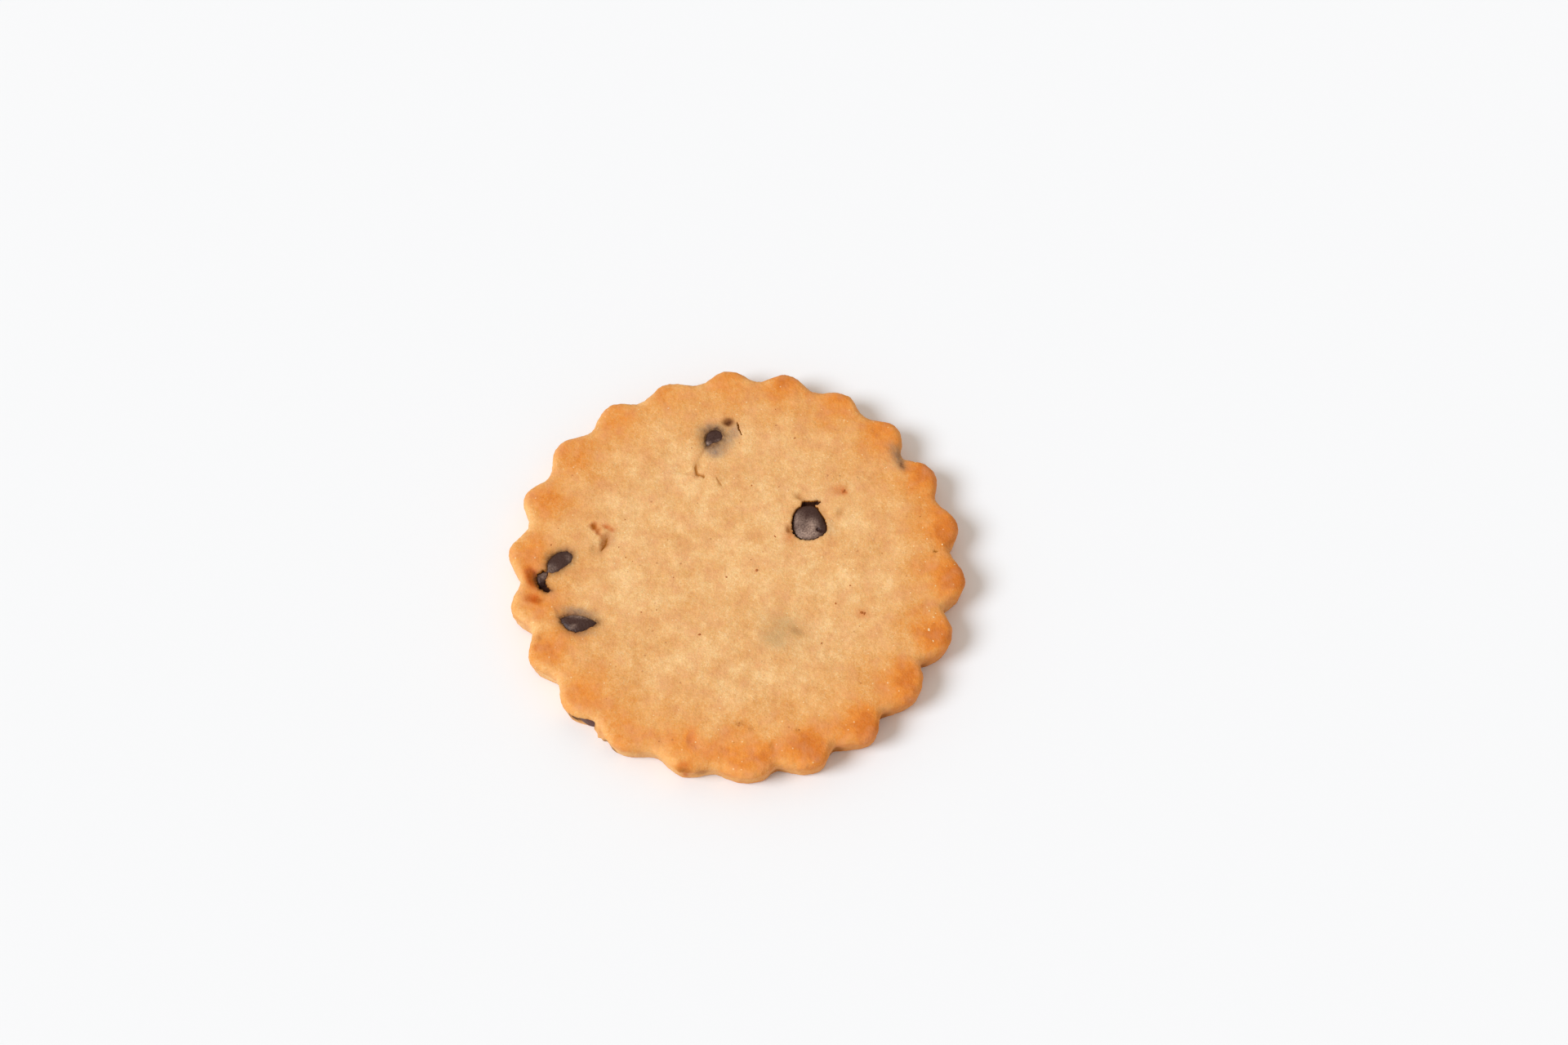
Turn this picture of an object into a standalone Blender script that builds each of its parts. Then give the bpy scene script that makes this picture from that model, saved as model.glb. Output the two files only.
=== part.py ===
"""Chipotle chocolate chip cookie.

A biscuit stamped out of rolled dough with a fluted round cutter and baked until its rim browned. Seven
chocolate drops show in its top and in its wall, each lying in its own hollow in the dough. Small cracks
and pits in the top are cut in as well.

Metres, +Z up. The origin is the middle of the flat underside, so the cookie stands on z = 0. The viewer
is on the -Y side, and angles round the rim are counted from +X towards +Y.
"""

import math
from typing import NamedTuple

import bmesh
import bpy
from mathutils import Euler, Matrix, Vector, noise

MM = 0.001


class Wave(NamedTuple):
    """A slow wave round the rim: how often it repeats, how much it adds and where it peaks."""

    repeats: int
    amount: float
    peak_deg: float


class RimSpot(NamedTuple):
    """A place where the rim swelled (positive push) or pulled in while the dough baked."""

    angle_deg: float
    half_width_deg: float
    push: float


class Step(NamedTuple):
    """One step of the edge's section: how far in from the rim, and at what height, which is counted from
    the top of the rim or from the underside."""

    inset: float
    height: float
    from_top: bool


class Drop(NamedTuple):
    """A chocolate drop: its middle, its three diameters, its turn in plan and its lean to one side."""

    name: str
    middle: tuple
    size: tuple
    turn_deg: float
    lean_deg: float


class Crack(NamedTuple):
    """A crack or pit in the crumb: its middle, its length, width and height, and its turn in plan."""

    name: str
    middle: tuple
    size: tuple
    turn_deg: float


# The rim as the cutter left it
MEAN_RADIUS = 29.3 * MM
FLUTES = 22
FIRST_CREST_DEG = 11.8
FLUTE_SWING = 0.74 * MM
FLUTE_SHARPNESS = -0.037 * MM

# How the rim relaxed in the oven. Drift moves the crests along the rim, in radians of one flute's turn.
RIM_LOBES = (Wave(2, 0.19 * MM, -32.0), Wave(3, 0.14 * MM, -57.0), Wave(4, 0.08 * MM, -29.0))
FLUTE_DRIFT = (Wave(1, 0.18, -169.0), Wave(2, 0.36, 72.0), Wave(3, 0.22, -3.0))
SWING_CHANGE = (Wave(1, 0.12 * MM, 105.0), Wave(2, 0.09 * MM, 1.0))
RIM_SPOTS = (
    RimSpot(36.5, 3.0, -0.85 * MM),
    RimSpot(108.0, 5.0, -0.48 * MM),
    RimSpot(120.5, 2.5, -0.24 * MM),
    RimSpot(165.0, 5.0, -0.43 * MM),
    RimSpot(178.0, 3.0, -0.27 * MM),
    RimSpot(197.0, 2.5, -0.36 * MM),
    RimSpot(200.0, 8.0, -0.25 * MM),
    RimSpot(204.0, 4.0, 0.30 * MM),
    RimSpot(212.5, 4.0, -0.36 * MM),
    RimSpot(251.0, 4.0, -0.53 * MM),
    RimSpot(280.5, 2.0, -0.34 * MM),
    RimSpot(285.5, 4.0, 0.14 * MM),
    RimSpot(296.0, 2.5, -0.94 * MM),
    RimSpot(311.5, 3.5, -1.64 * MM),
    RimSpot(325.0, 4.0, -0.84 * MM),
    RimSpot(330.0, 3.0, -1.36 * MM),
    RimSpot(341.0, 4.0, -0.52 * MM),
    RimSpot(347.0, 3.0, -0.92 * MM),
    RimSpot(6.0, 1.5, -0.42 * MM),
)

# The section of the biscuit
THICKNESS = 4.8 * MM
TOP_ROUND = 1.2 * MM
BOTTOM_ROUND = 0.5 * MM
UNDERCUT = 0.45 * MM
SHOULDER_DROP = 0.22 * MM
SHOULDER_START = 0.84

# The unevenness of the baked surface: how far it rises and falls, and over what length
SWELL_HEIGHT = 0.11 * MM
SWELL_LENGTH = 7.5 * MM
LUMP_HEIGHT = 0.07 * MM
LUMP_LENGTH = 2.4 * MM
WALL_LUMP_HEIGHT = 0.06 * MM

# The mesh. The sheet's four sides go once round the rim, with a whole number of points to a flute.
POINTS_PER_FLUTE = 8
SHEET_CELLS = FLUTES * POINTS_PER_FLUTE // 4
FLUTE_FADE = 8
TOP_ROUND_STEPS = 3
BOTTOM_ROUND_STEPS = 2
WALL_STEPS = 2
OUTLINE_SAMPLES = 720
SMOOTH_ANGLE_DEG = 40.0

# The chocolate drops. Rolled out with the dough and baked, a drop is squat, with a flattened top and
# soft dents.
GAP = 0.3 * MM
DROP_SIDES = 16
DROP_RINGS = 10
DROP_ROUNDNESS = 0.55
DROP_NARROWING = 0.10
DROP_DENT = 0.05
DROP_DENT_SPACING = 0.9
LEAST_SPREAD = 1e-9
DROPS = (
    Drop("chip_centre", (9.5 * MM, 6.1 * MM, 3.45 * MM), (4.7 * MM, 4.7 * MM, 3.1 * MM), 20.0, 4.0),
    Drop("chip_back", (-2.1 * MM, 18.6 * MM, 3.2 * MM), (4.5 * MM, 4.4 * MM, 3.0 * MM), 125.0, 7.0),
    Drop("chip_left", (-23.1 * MM, 0.5 * MM, 3.4 * MM), (4.3 * MM, 2.9 * MM, 2.9 * MM), 42.0, 0.0),
    Drop("chip_left_rim", (-25.4 * MM, -2.5 * MM, 3.2 * MM), (4.0 * MM, 2.2 * MM, 2.9 * MM), -52.0, 0.0),
    Drop("chip_left_front", (-20.5 * MM, -8.7 * MM, 3.35 * MM), (5.2 * MM, 3.0 * MM, 3.0 * MM), -8.0, -5.0),
    Drop("chip_front_rim", (-18.1 * MM, -20.1 * MM, 2.5 * MM), (4.6 * MM, 3.2 * MM, 2.7 * MM), -42.0, 0.0),
    Drop("chip_right_rim", (20.9 * MM, 15.8 * MM, 3.1 * MM), (3.6 * MM, 2.6 * MM, 2.8 * MM), -53.0, 0.0),
)

# The cracks and pits that show in the top, the gaps beside the drops among them
CRACK_SIDES = 10
CRACK_RINGS = 6
CRACKS = (
    Crack("gap_behind_centre_chip", (10.0 * MM, 8.7 * MM, 4.8 * MM), (2.6 * MM, 1.2 * MM, 2.4 * MM), -4.0),
    Crack("gap_beside_back_chip", (0.3 * MM, 20.4 * MM, 4.8 * MM), (2.1 * MM, 0.6 * MM, 1.8 * MM), -75.0),
    Crack("pit_behind_back_chip", (-1.1 * MM, 21.1 * MM, 4.8 * MM), (1.4 * MM, 1.1 * MM, 1.4 * MM), 0.0),
    Crack("hole_at_left_rim", (-26.5 * MM, -1.9 * MM, 4.3 * MM), (3.0 * MM, 1.6 * MM, 2.8 * MM), -62.0),
    Crack("crack_back_upright", (-5.5 * MM, 14.0 * MM, 4.8 * MM), (1.7 * MM, 0.5 * MM, 1.3 * MM), -80.0),
    Crack("crack_back_foot", (-4.9 * MM, 13.1 * MM, 4.8 * MM), (1.5 * MM, 0.5 * MM, 1.1 * MM), -28.0),
    Crack("crack_back_right", (-2.45 * MM, 12.1 * MM, 4.8 * MM), (2.1 * MM, 0.5 * MM, 1.1 * MM), -59.0),
    Crack("dent_back_left", (-7.4 * MM, 14.4 * MM, 4.85 * MM), (2.0 * MM, 0.9 * MM, 0.8 * MM), -12.0),
    Crack("pit_left_upper", (-17.9 * MM, 4.7 * MM, 4.8 * MM), (1.9 * MM, 0.7 * MM, 1.1 * MM), 22.0),
    Crack("pit_left_middle", (-17.3 * MM, 3.2 * MM, 4.8 * MM), (2.0 * MM, 0.8 * MM, 1.2 * MM), 62.0),
    Crack("pit_left_lower", (-18.5 * MM, 2.2 * MM, 4.8 * MM), (1.3 * MM, 0.9 * MM, 0.9 * MM), 10.0),
    Crack("nick_right", (26.2 * MM, 1.7 * MM, 4.75 * MM), (1.4 * MM, 0.4 * MM, 0.9 * MM), -20.0),
)

# Finishes, in linear colour
BISCUIT_COLOUR = (0.745, 0.371, 0.122, 1.0)
BISCUIT_ROUGHNESS = 0.75
CHOCOLATE_COLOUR = (0.042, 0.025, 0.021, 1.0)
CHOCOLATE_ROUGHNESS = 0.45


def waves_at(waves, angle):
    """Sum of slow waves at an angle round the rim."""
    return sum(w.amount * math.cos(w.repeats * (angle - math.radians(w.peak_deg))) for w in waves)


def plain_radius(angle):
    """Radius of the rim without its flutes."""
    return MEAN_RADIUS + waves_at(RIM_LOBES, angle)


def flute_height(angle):
    """How far the fluted rim stands out from the plain one, with the spots where it swelled or pulled in."""
    turn = FLUTES * (angle - math.radians(FIRST_CREST_DEG)) + waves_at(FLUTE_DRIFT, angle)
    swing = FLUTE_SWING + waves_at(SWING_CHANGE, angle)
    height = swing * math.cos(turn) + FLUTE_SHARPNESS * math.cos(2.0 * turn)
    for spot in RIM_SPOTS:
        away_deg = (math.degrees(angle) - spot.angle_deg + 180.0) % 360.0 - 180.0
        height += spot.push * math.exp(-((away_deg / spot.half_width_deg) ** 2))
    return height


def rim_point(angle, inset=0.0):
    """Point of the rim in plan, moved inwards by an inset. The cutter's centre is the zero point here."""
    radius = plain_radius(angle) + flute_height(angle) - inset
    return Vector((radius * math.cos(angle), radius * math.sin(angle)))


def rim_middle():
    """Middle of the box round the rim, which becomes the cookie's origin."""
    points = [rim_point(math.tau * k / OUTLINE_SAMPLES) for k in range(OUTLINE_SAMPLES)]
    low = Vector((min(p.x for p in points), min(p.y for p in points)))
    high = Vector((max(p.x for p in points), max(p.y for p in points)))
    return (low + high) / 2.0


def surface_lumps(place):
    """Rise and fall of the baked top at a place in plan."""
    swell = noise.noise(Vector((place.x, place.y, 0.0)) / SWELL_LENGTH)
    lump = noise.noise(Vector((place.x, place.y, SWELL_LENGTH)) / LUMP_LENGTH)
    return SWELL_HEIGHT * swell + LUMP_HEIGHT * lump


def top_height(place, ring):
    """Height of the top at a place. The ring is 0 in the middle and 1 at the start of the rounded edge."""
    towards_edge = max(0.0, (ring - SHOULDER_START) / (1.0 - SHOULDER_START))
    return THICKNESS + surface_lumps(place) - SHOULDER_DROP * towards_edge**2


def disc_place(u, v):
    """Ring and angle on a disc of a point on a square sheet whose sides run from -1 to 1."""
    ring = max(abs(u), abs(v))
    if ring == 0.0:
        return 0.0, 0.0
    if abs(u) >= abs(v):
        angle = math.pi / 4.0 * v / u
        return ring, angle if u > 0.0 else angle + math.pi
    angle = math.pi / 2.0 - math.pi / 4.0 * u / v
    return ring, angle if v > 0.0 else angle + math.pi


def edge_section():
    """Steps from the start of the rounded top edge, down the wall, to the underside."""
    section = []
    for step in range(1, TOP_ROUND_STEPS + 1):
        turn = math.pi / 2.0 * step / TOP_ROUND_STEPS
        inset = TOP_ROUND * (1.0 - math.sin(turn))
        section.append(Step(inset, -TOP_ROUND * (1.0 - math.cos(turn)), True))
    wall_top = THICKNESS - SHOULDER_DROP - TOP_ROUND
    for step in range(1, WALL_STEPS + 1):
        share = step / WALL_STEPS
        section.append(Step(UNDERCUT * share, wall_top + (BOTTOM_ROUND - wall_top) * share, False))
    for step in range(1, BOTTOM_ROUND_STEPS + 1):
        turn = math.pi / 2.0 * step / BOTTOM_ROUND_STEPS
        inset = UNDERCUT + BOTTOM_ROUND * (1.0 - math.cos(turn))
        section.append(Step(inset, BOTTOM_ROUND * (1.0 - math.sin(turn)), False))
    return section


def wall_point(angle, step):
    """Point of the edge at an angle round the rim, on one step of its section."""
    if step.from_top:
        place = rim_point(angle, step.inset)
        return Vector((place.x, place.y, top_height(rim_point(angle, TOP_ROUND), 1.0) + step.height))
    place = rim_point(angle)
    lump = WALL_LUMP_HEIGHT * noise.noise(Vector((place.x, place.y, step.height)) / LUMP_LENGTH)
    place = rim_point(angle, step.inset + lump)
    return Vector((place.x, place.y, step.height))


def lay_sheet_on_disc(bm):
    """Bends a square grid sheet into the top of the biscuit, as far as the start of its rounded edge."""
    for vert in bm.verts:
        ring, angle = disc_place(vert.co.x, vert.co.y)
        radius = ring * (plain_radius(angle) - TOP_ROUND) + ring**FLUTE_FADE * flute_height(angle)
        place = Vector((radius * math.cos(angle), radius * math.sin(angle)))
        vert.co = Vector((place.x, place.y, top_height(place, ring)))


def extrude_wall(bm):
    """Carries the edge of the top down the wall, one ring of faces for each step, and closes the underside."""
    border = [edge for edge in bm.edges if edge.is_boundary]
    for step in edge_section():
        grown = bmesh.ops.extrude_edge_only(bm, edges=border)["geom"]
        border = [item for item in grown if isinstance(item, bmesh.types.BMEdge) and item.is_boundary]
        for vert in [item for item in grown if isinstance(item, bmesh.types.BMVert)]:
            vert.co = wall_point(math.atan2(vert.co.y, vert.co.x), step)
    bmesh.ops.contextual_create(bm, geom=border)


def new_object(name, bm, material, collection):
    """Object from a finished bmesh, shaded smooth except at real edges."""
    mesh = bpy.data.meshes.new(name)
    bm.to_mesh(mesh)
    bm.free()
    mesh.shade_smooth()
    mesh.set_sharp_from_angle(angle=math.radians(SMOOTH_ANGLE_DEG))
    mesh.materials.append(material)
    item = bpy.data.objects.new(name, mesh)
    collection.objects.link(item)
    return item


def make_biscuit(material, collection):
    """The baked dough, before its hollows and cracks are cut."""
    bm = bmesh.new()
    bmesh.ops.create_grid(bm, x_segments=SHEET_CELLS, y_segments=SHEET_CELLS, size=1.0)
    lay_sheet_on_disc(bm)
    extrude_wall(bm)
    middle = rim_middle()
    bmesh.ops.translate(bm, verts=bm.verts, vec=(-middle.x, -middle.y, 0.0))
    bmesh.ops.recalc_face_normals(bm, faces=bm.faces)
    return new_object("biscuit", bm, material, collection)


def drop_form(drop, growth):
    """Mesh of a drop about its own middle, or of its hollow when the growth is the gap round it."""
    bm = bmesh.new()
    bmesh.ops.create_uvsphere(bm, u_segments=DROP_SIDES, v_segments=DROP_RINGS, radius=1.0)
    own_dents = Vector(drop.middle) / MM
    half = Vector(drop.size) / 2.0
    for vert in bm.verts:
        way = vert.co.normalized()
        spread = max(way.xy.length, LEAST_SPREAD)
        level = math.copysign(abs(way.z) ** DROP_ROUNDNESS, way.z)
        out = spread ** (DROP_ROUNDNESS - 1.0) * (1.0 - DROP_NARROWING * level)
        dent = 1.0 + DROP_DENT * noise.noise(way / DROP_DENT_SPACING + own_dents)
        shape = Vector((way.x * out * half.x, way.y * out * half.y, level * half.z)) * dent
        vert.co = shape + way * growth
    return bm


def put_in_place(item, spot, lean_deg=0.0):
    """Sets an object at its spot in the cookie, turned in plan and leaning to one side."""
    item.location = spot.middle
    item.rotation_euler = Euler((math.radians(lean_deg), 0.0, math.radians(spot.turn_deg)))


def make_drop(drop, material, collection):
    """One chocolate drop."""
    item = new_object(drop.name, drop_form(drop, 0.0), material, collection)
    put_in_place(item, drop, drop.lean_deg)
    return item


def hide_cutter(item):
    """Marks an object as a cutter, which isn't part of the cookie."""
    item.hide_render = True
    item.display_type = "WIRE"


def make_hollow(drop, material, collection):
    """Cutter for the hollow that a drop lies in."""
    item = new_object(drop.name + "_hollow", drop_form(drop, GAP), material, collection)
    put_in_place(item, drop, drop.lean_deg)
    hide_cutter(item)


def make_crack_cutter(crack, material, collection):
    """Cutter for one crack or pit."""
    bm = bmesh.new()
    bmesh.ops.create_uvsphere(bm, u_segments=CRACK_SIDES, v_segments=CRACK_RINGS, radius=0.5)
    bmesh.ops.transform(bm, verts=bm.verts, matrix=Matrix.Diagonal((*crack.size, 1.0)))
    item = new_object(crack.name, bm, material, collection)
    put_in_place(item, crack)
    hide_cutter(item)


def cut(item, cutters):
    """Cuts every object of the cutters' collection out of an object."""
    modifier = item.modifiers.new("hollows_and_cracks", "BOOLEAN")
    modifier.operation = "DIFFERENCE"
    modifier.operand_type = "COLLECTION"
    modifier.collection = cutters
    modifier.solver = "EXACT"


def make_material(name, colour, roughness):
    """Plain finish for one kind of stuff."""
    material = bpy.data.materials.new(name)
    material.use_nodes = True
    shader = material.node_tree.nodes["Principled BSDF"]
    shader.inputs["Base Color"].default_value = colour
    shader.inputs["Roughness"].default_value = roughness
    shader.inputs["Metallic"].default_value = 0.0
    return material


def new_collection(name):
    """Collection in the scene."""
    collection = bpy.data.collections.new(name)
    bpy.context.scene.collection.children.link(collection)
    return collection


def main():
    """Builds the cookie."""
    for item in list(bpy.data.objects):
        bpy.data.objects.remove(item)
    cookie = new_collection("chipotle_chocolate_chip_cookie")
    cutters = new_collection("cutters")
    dough = make_material("baked_dough", BISCUIT_COLOUR, BISCUIT_ROUGHNESS)
    chocolate = make_material("dark_chocolate", CHOCOLATE_COLOUR, CHOCOLATE_ROUGHNESS)

    biscuit = make_biscuit(dough, cookie)
    for drop in DROPS:
        chip = make_drop(drop, chocolate, cookie)
        chip.parent = biscuit
        make_hollow(drop, dough, cutters)
    for crack in CRACKS:
        make_crack_cutter(crack, dough, cutters)
    cut(biscuit, cutters)


main()
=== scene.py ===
"""The looks of a chipotle chocolate chip cookie.

A biscuit was stamped out of rolled dough with a fluted round cutter and baked until its rim browned. The
solids of the frame have its form. Here the biscuit gets its crumb, its cracks, its toasting and the ragged
openings that the chocolate drops show through, and each drop gets its own dents and bloom.

Sizes and places are millimetres, and they become metres as a mesh is made. +Z is up, the viewer is on the
-Y side, and angles round the rim are counted from +X towards +Y.
"""

import logging
import math
from dataclasses import dataclass, field
from enum import Enum
from functools import partial

import bmesh
import bpy
import numpy as np
from mathutils import Euler, Matrix, Vector, noise

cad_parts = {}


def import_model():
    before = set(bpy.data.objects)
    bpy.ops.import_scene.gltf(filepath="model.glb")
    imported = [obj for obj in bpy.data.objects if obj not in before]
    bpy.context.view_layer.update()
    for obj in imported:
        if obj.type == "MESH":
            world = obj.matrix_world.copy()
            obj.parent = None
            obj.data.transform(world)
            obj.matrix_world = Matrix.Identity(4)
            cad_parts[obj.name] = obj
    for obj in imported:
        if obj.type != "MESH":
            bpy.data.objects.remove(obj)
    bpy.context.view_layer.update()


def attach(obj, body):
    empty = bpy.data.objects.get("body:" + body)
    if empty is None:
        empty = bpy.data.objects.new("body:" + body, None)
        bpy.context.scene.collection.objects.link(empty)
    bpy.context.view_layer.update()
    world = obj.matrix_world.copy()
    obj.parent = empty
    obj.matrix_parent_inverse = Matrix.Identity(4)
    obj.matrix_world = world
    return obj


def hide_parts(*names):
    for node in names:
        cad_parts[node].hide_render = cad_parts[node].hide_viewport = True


MM = 0.001
BAKE_MAP = "OFBake"
# The sockets of a node that mixes colours: how much of the second one there is, both colours and the result
SHARE, BELOW, ABOVE, MIXED = 0, 6, 7, 2

Place = tuple[float, float]
Colour = tuple[float, float, float, float]

log = logging.getLogger("cookie")


def linear(hex_colour: str) -> Colour:
    """Linear colour of an sRGB hex value.

    Args:
        hex_colour: Six hex digits, such as "f0c080".

    Returns:
        The linear red, green and blue, and an alpha of 1.
    """
    channels = [int(hex_colour[k : k + 2], 16) / 255.0 for k in (0, 2, 4)]
    parts = [c / 12.92 if c <= 0.04045 else ((c + 0.055) / 1.055) ** 2.4 for c in channels]
    return (*parts, 1.0)


def per_metre(length: float) -> float:
    """Scale of a texture whose features are this many millimetres long."""
    return 1.0 / (length * MM)


def smooth(low: float, high: float, value: np.ndarray) -> np.ndarray:
    """Share from 0 to 1 of the way from low to high, eased at both ends."""
    share = np.clip((value - low) / (high - low), 0.0, 1.0)
    return share * share * (3.0 - 2.0 * share)


def flat(plan: np.ndarray) -> np.ndarray:
    """Places in plan, with a height of 0."""
    return np.column_stack([plan, np.zeros(len(plan))])


def degrees_from(middle_deg: float, angle: np.ndarray) -> np.ndarray:
    """Degrees from one direction round the rim to others, from -180 to 180."""
    return (np.degrees(angle) - middle_deg + 180.0) % 360.0 - 180.0


def distance_to_path(plan: np.ndarray, path: tuple[Place, ...]) -> np.ndarray:
    """Distance of each place to a path of straight runs.

    Args:
        plan: One place in plan to a row.
        path: The path's corners.

    Returns:
        The shortest distance for each place.
    """
    nearest = np.full(len(plan), np.inf)
    corners = np.array(path)
    for start, end in zip(corners[:-1], corners[1:]):
        run, away = end - start, plan - start
        share = np.clip(away @ run / (run @ run), 0.0, 1.0)
        nearest = np.minimum(nearest, np.hypot(*(away - share[:, None] * run).T))
    return nearest


def depth_inside(plan: np.ndarray, outline: tuple[Place, ...]) -> np.ndarray:
    """How far inside a closed outline each place is.

    Args:
        plan: One place in plan to a row.
        outline: The outline's corners, in order.

    Returns:
        The distance to the outline, negative outside it.
    """
    closed = (*outline, outline[0])
    inside = np.zeros(len(plan), bool)
    for (x0, y0), (x1, y1) in zip(closed[:-1], closed[1:]):
        crosses = (y0 > plan[:, 1]) != (y1 > plan[:, 1])
        rise = y1 - y0 if y1 != y0 else 1.0
        inside ^= crosses & (plan[:, 0] < x0 + (plan[:, 1] - y0) / rise * (x1 - x0))
    distance = distance_to_path(plan, closed)
    return np.where(inside, distance, -distance)


def wire(node: bpy.types.Node, sockets: dict | tuple) -> None:
    """Gives each input of a node its value, or links it.

    Args:
        node: The node.
        sockets: A value or an output for each input, in order or by name or number.
    """
    for key, value in sockets.items() if isinstance(sockets, dict) else enumerate(sockets):
        if isinstance(value, bpy.types.NodeSocket):
            node.id_data.links.new(value, node.inputs[key])
        else:
            node.inputs[key].default_value = value


def add_node(
    tree: bpy.types.NodeTree, kind: str, sockets: dict | tuple = (), output: str | int = 0, **settings: object
) -> bpy.types.NodeSocket:
    """Adds a node with its settings and links.

    Args:
        tree: The node tree.
        kind: The shader node's type.
        sockets: What its inputs get.
        output: The output that is wanted, by name or number.
        settings: The node's own properties.

    Returns:
        The output.
    """
    node = tree.nodes.new("ShaderNode" + kind)
    for name, value in settings.items():
        setattr(node, name, value)
    wire(node, sockets)
    return node.outputs[output]


def new_material(name: str) -> tuple[bpy.types.Material, bpy.types.NodeTree, bpy.types.Node]:
    """Adds a material.

    Args:
        name: Its name.

    Returns:
        The material, its node tree and its shader.
    """
    material = bpy.data.materials.new(name)
    material.use_nodes = True
    return material, material.node_tree, material.node_tree.nodes["Principled BSDF"]


def finished_mesh(name: str, bm: bmesh.types.BMesh) -> bpy.types.Mesh:
    """Turns a mesh that was being edited into a finished one.

    Args:
        name: The finished mesh's name.
        bm: The mesh that was being edited.

    Returns:
        The finished mesh.
    """
    mesh = bpy.data.meshes.new(name)
    bm.to_mesh(mesh)
    bm.free()
    return mesh


def add_piece(mesh: bpy.types.Mesh, material: bpy.types.Material) -> bpy.types.Object:
    """Puts a mesh in the scene.

    Args:
        mesh: The mesh, which has the piece's name.
        material: What it is made of.

    Returns:
        The piece.
    """
    mesh.materials.append(material)
    item = bpy.data.objects.new(mesh.name, mesh)
    bpy.context.scene.collection.objects.link(item)
    return item


class Tint(Enum):
    """What coloured a patch of the dough, together with the painted shade laid on in the toast, chipotle and
    chocolate colours. The value names the mesh attribute that says how much.
    """

    CHOCOLATE = "chocolate_smear"
    FILM = "dough_film"
    CHIPOTLE = "chipotle_stain"
    TOAST = "toasted_spot"
    SUNKEN = "sunken_drop"


@dataclass(frozen=True)
class Bumps:
    """Soft unevenness of a surface. The shift sets its pattern apart from the others."""

    height: float
    length: float
    shift: float = 0.0

    def at(self, places: np.ndarray) -> np.ndarray:
        """Height of the bumps at some places, with one place to a row."""
        spots = (places / self.length + self.shift).tolist()
        return self.height * np.array([noise.noise(spot) for spot in spots])


@dataclass(frozen=True)
class Wave:
    """A slow wave round the rim: how often it repeats, how much it adds and where it peaks."""

    repeats: int
    amount: float
    peak_deg: float

    def at(self, angle: np.ndarray) -> np.ndarray:
        """The wave's value at angles round the rim."""
        return self.amount * np.cos(self.repeats * (angle - math.radians(self.peak_deg)))


@dataclass(frozen=True)
class RimSpot:
    """A place where the rim swelled (positive push) or pulled in while the dough baked."""

    angle_deg: float
    half_width_deg: float
    push: float

    def at(self, angle: np.ndarray) -> np.ndarray:
        """How far the spot pushes the rim out at angles round it."""
        return self.push * np.exp(-((degrees_from(self.angle_deg, angle) / self.half_width_deg) ** 2))


@dataclass(frozen=True)
class Rim:
    """The outline that the fluted cutter left, relaxed in the oven."""

    mean_radius: float = 29.3
    flutes: int = 22
    first_crest_deg: float = 11.8
    swing: float = 0.74
    sharpness: float = -0.037
    outline_samples: int = 720
    lobes: tuple[Wave, ...] = (Wave(2, 0.19, -32.0), Wave(3, 0.14, -57.0), Wave(4, 0.08, -29.0))
    drift: tuple[Wave, ...] = (Wave(1, 0.18, -169.0), Wave(2, 0.36, 72.0), Wave(3, 0.22, -3.0))
    swing_change: tuple[Wave, ...] = (Wave(1, 0.12, 105.0), Wave(2, 0.09, 1.0))
    spots: tuple[RimSpot, ...] = tuple(
        RimSpot(*row)
        for row in (
            (36.5, 3.0, -0.85), (108.0, 5.0, -0.48), (120.5, 2.5, -0.24), (165.0, 5.0, -0.43),
            (178.0, 3.0, -0.27), (197.0, 2.5, -0.36), (200.0, 8.0, -0.25), (204.0, 4.0, 0.30),
            (212.5, 4.0, -0.36), (251.0, 4.0, -0.53), (280.5, 2.0, -0.34), (285.5, 4.0, 0.14),
            (296.0, 2.5, -0.94), (311.5, 3.5, -1.64), (325.0, 4.0, -0.84), (330.0, 3.0, -1.36),
            (341.0, 4.0, -0.52), (347.0, 3.0, -0.92), (6.0, 1.5, -0.42),
        )
    )

    def plain_radius(self, angle: np.ndarray) -> np.ndarray:
        """Radius of the rim without its flutes."""
        return self.mean_radius + sum(wave.at(angle) for wave in self.lobes)

    def flute_height(self, angle: np.ndarray) -> np.ndarray:
        """How far the fluted rim stands out from the plain one.

        Args:
            angle: Angles round the rim.

        Returns:
            The distance for each angle, negative in a notch.
        """
        turn = self.flutes * (angle - math.radians(self.first_crest_deg))
        turn = turn + sum(wave.at(angle) for wave in self.drift)
        swing = self.swing + sum(wave.at(angle) for wave in self.swing_change)
        flutes = swing * np.cos(turn) + self.sharpness * np.cos(2.0 * turn)
        return flutes + sum(spot.at(angle) for spot in self.spots)

    def points(self, angle: np.ndarray, inset: np.ndarray | float = 0.0) -> np.ndarray:
        """Points of the rim in plan, about the cutter's centre, moved inwards by an inset."""
        radius = self.plain_radius(angle) + self.flute_height(angle) - inset
        return np.column_stack([radius * np.cos(angle), radius * np.sin(angle)])

    def middle(self) -> np.ndarray:
        """Middle of the box round the rim, which is the cookie's origin."""
        outline = self.points(np.linspace(0.0, math.tau, self.outline_samples, endpoint=False))
        return (outline.min(axis=0) + outline.max(axis=0)) / 2.0

    def polar(self, plan: np.ndarray) -> tuple[np.ndarray, np.ndarray]:
        """Angle and distance from the cutter's centre, for places about the cookie's origin."""
        cutter = plan + self.middle()
        return np.arctan2(cutter[:, 1], cutter[:, 0]), np.hypot(*cutter.T)


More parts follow.
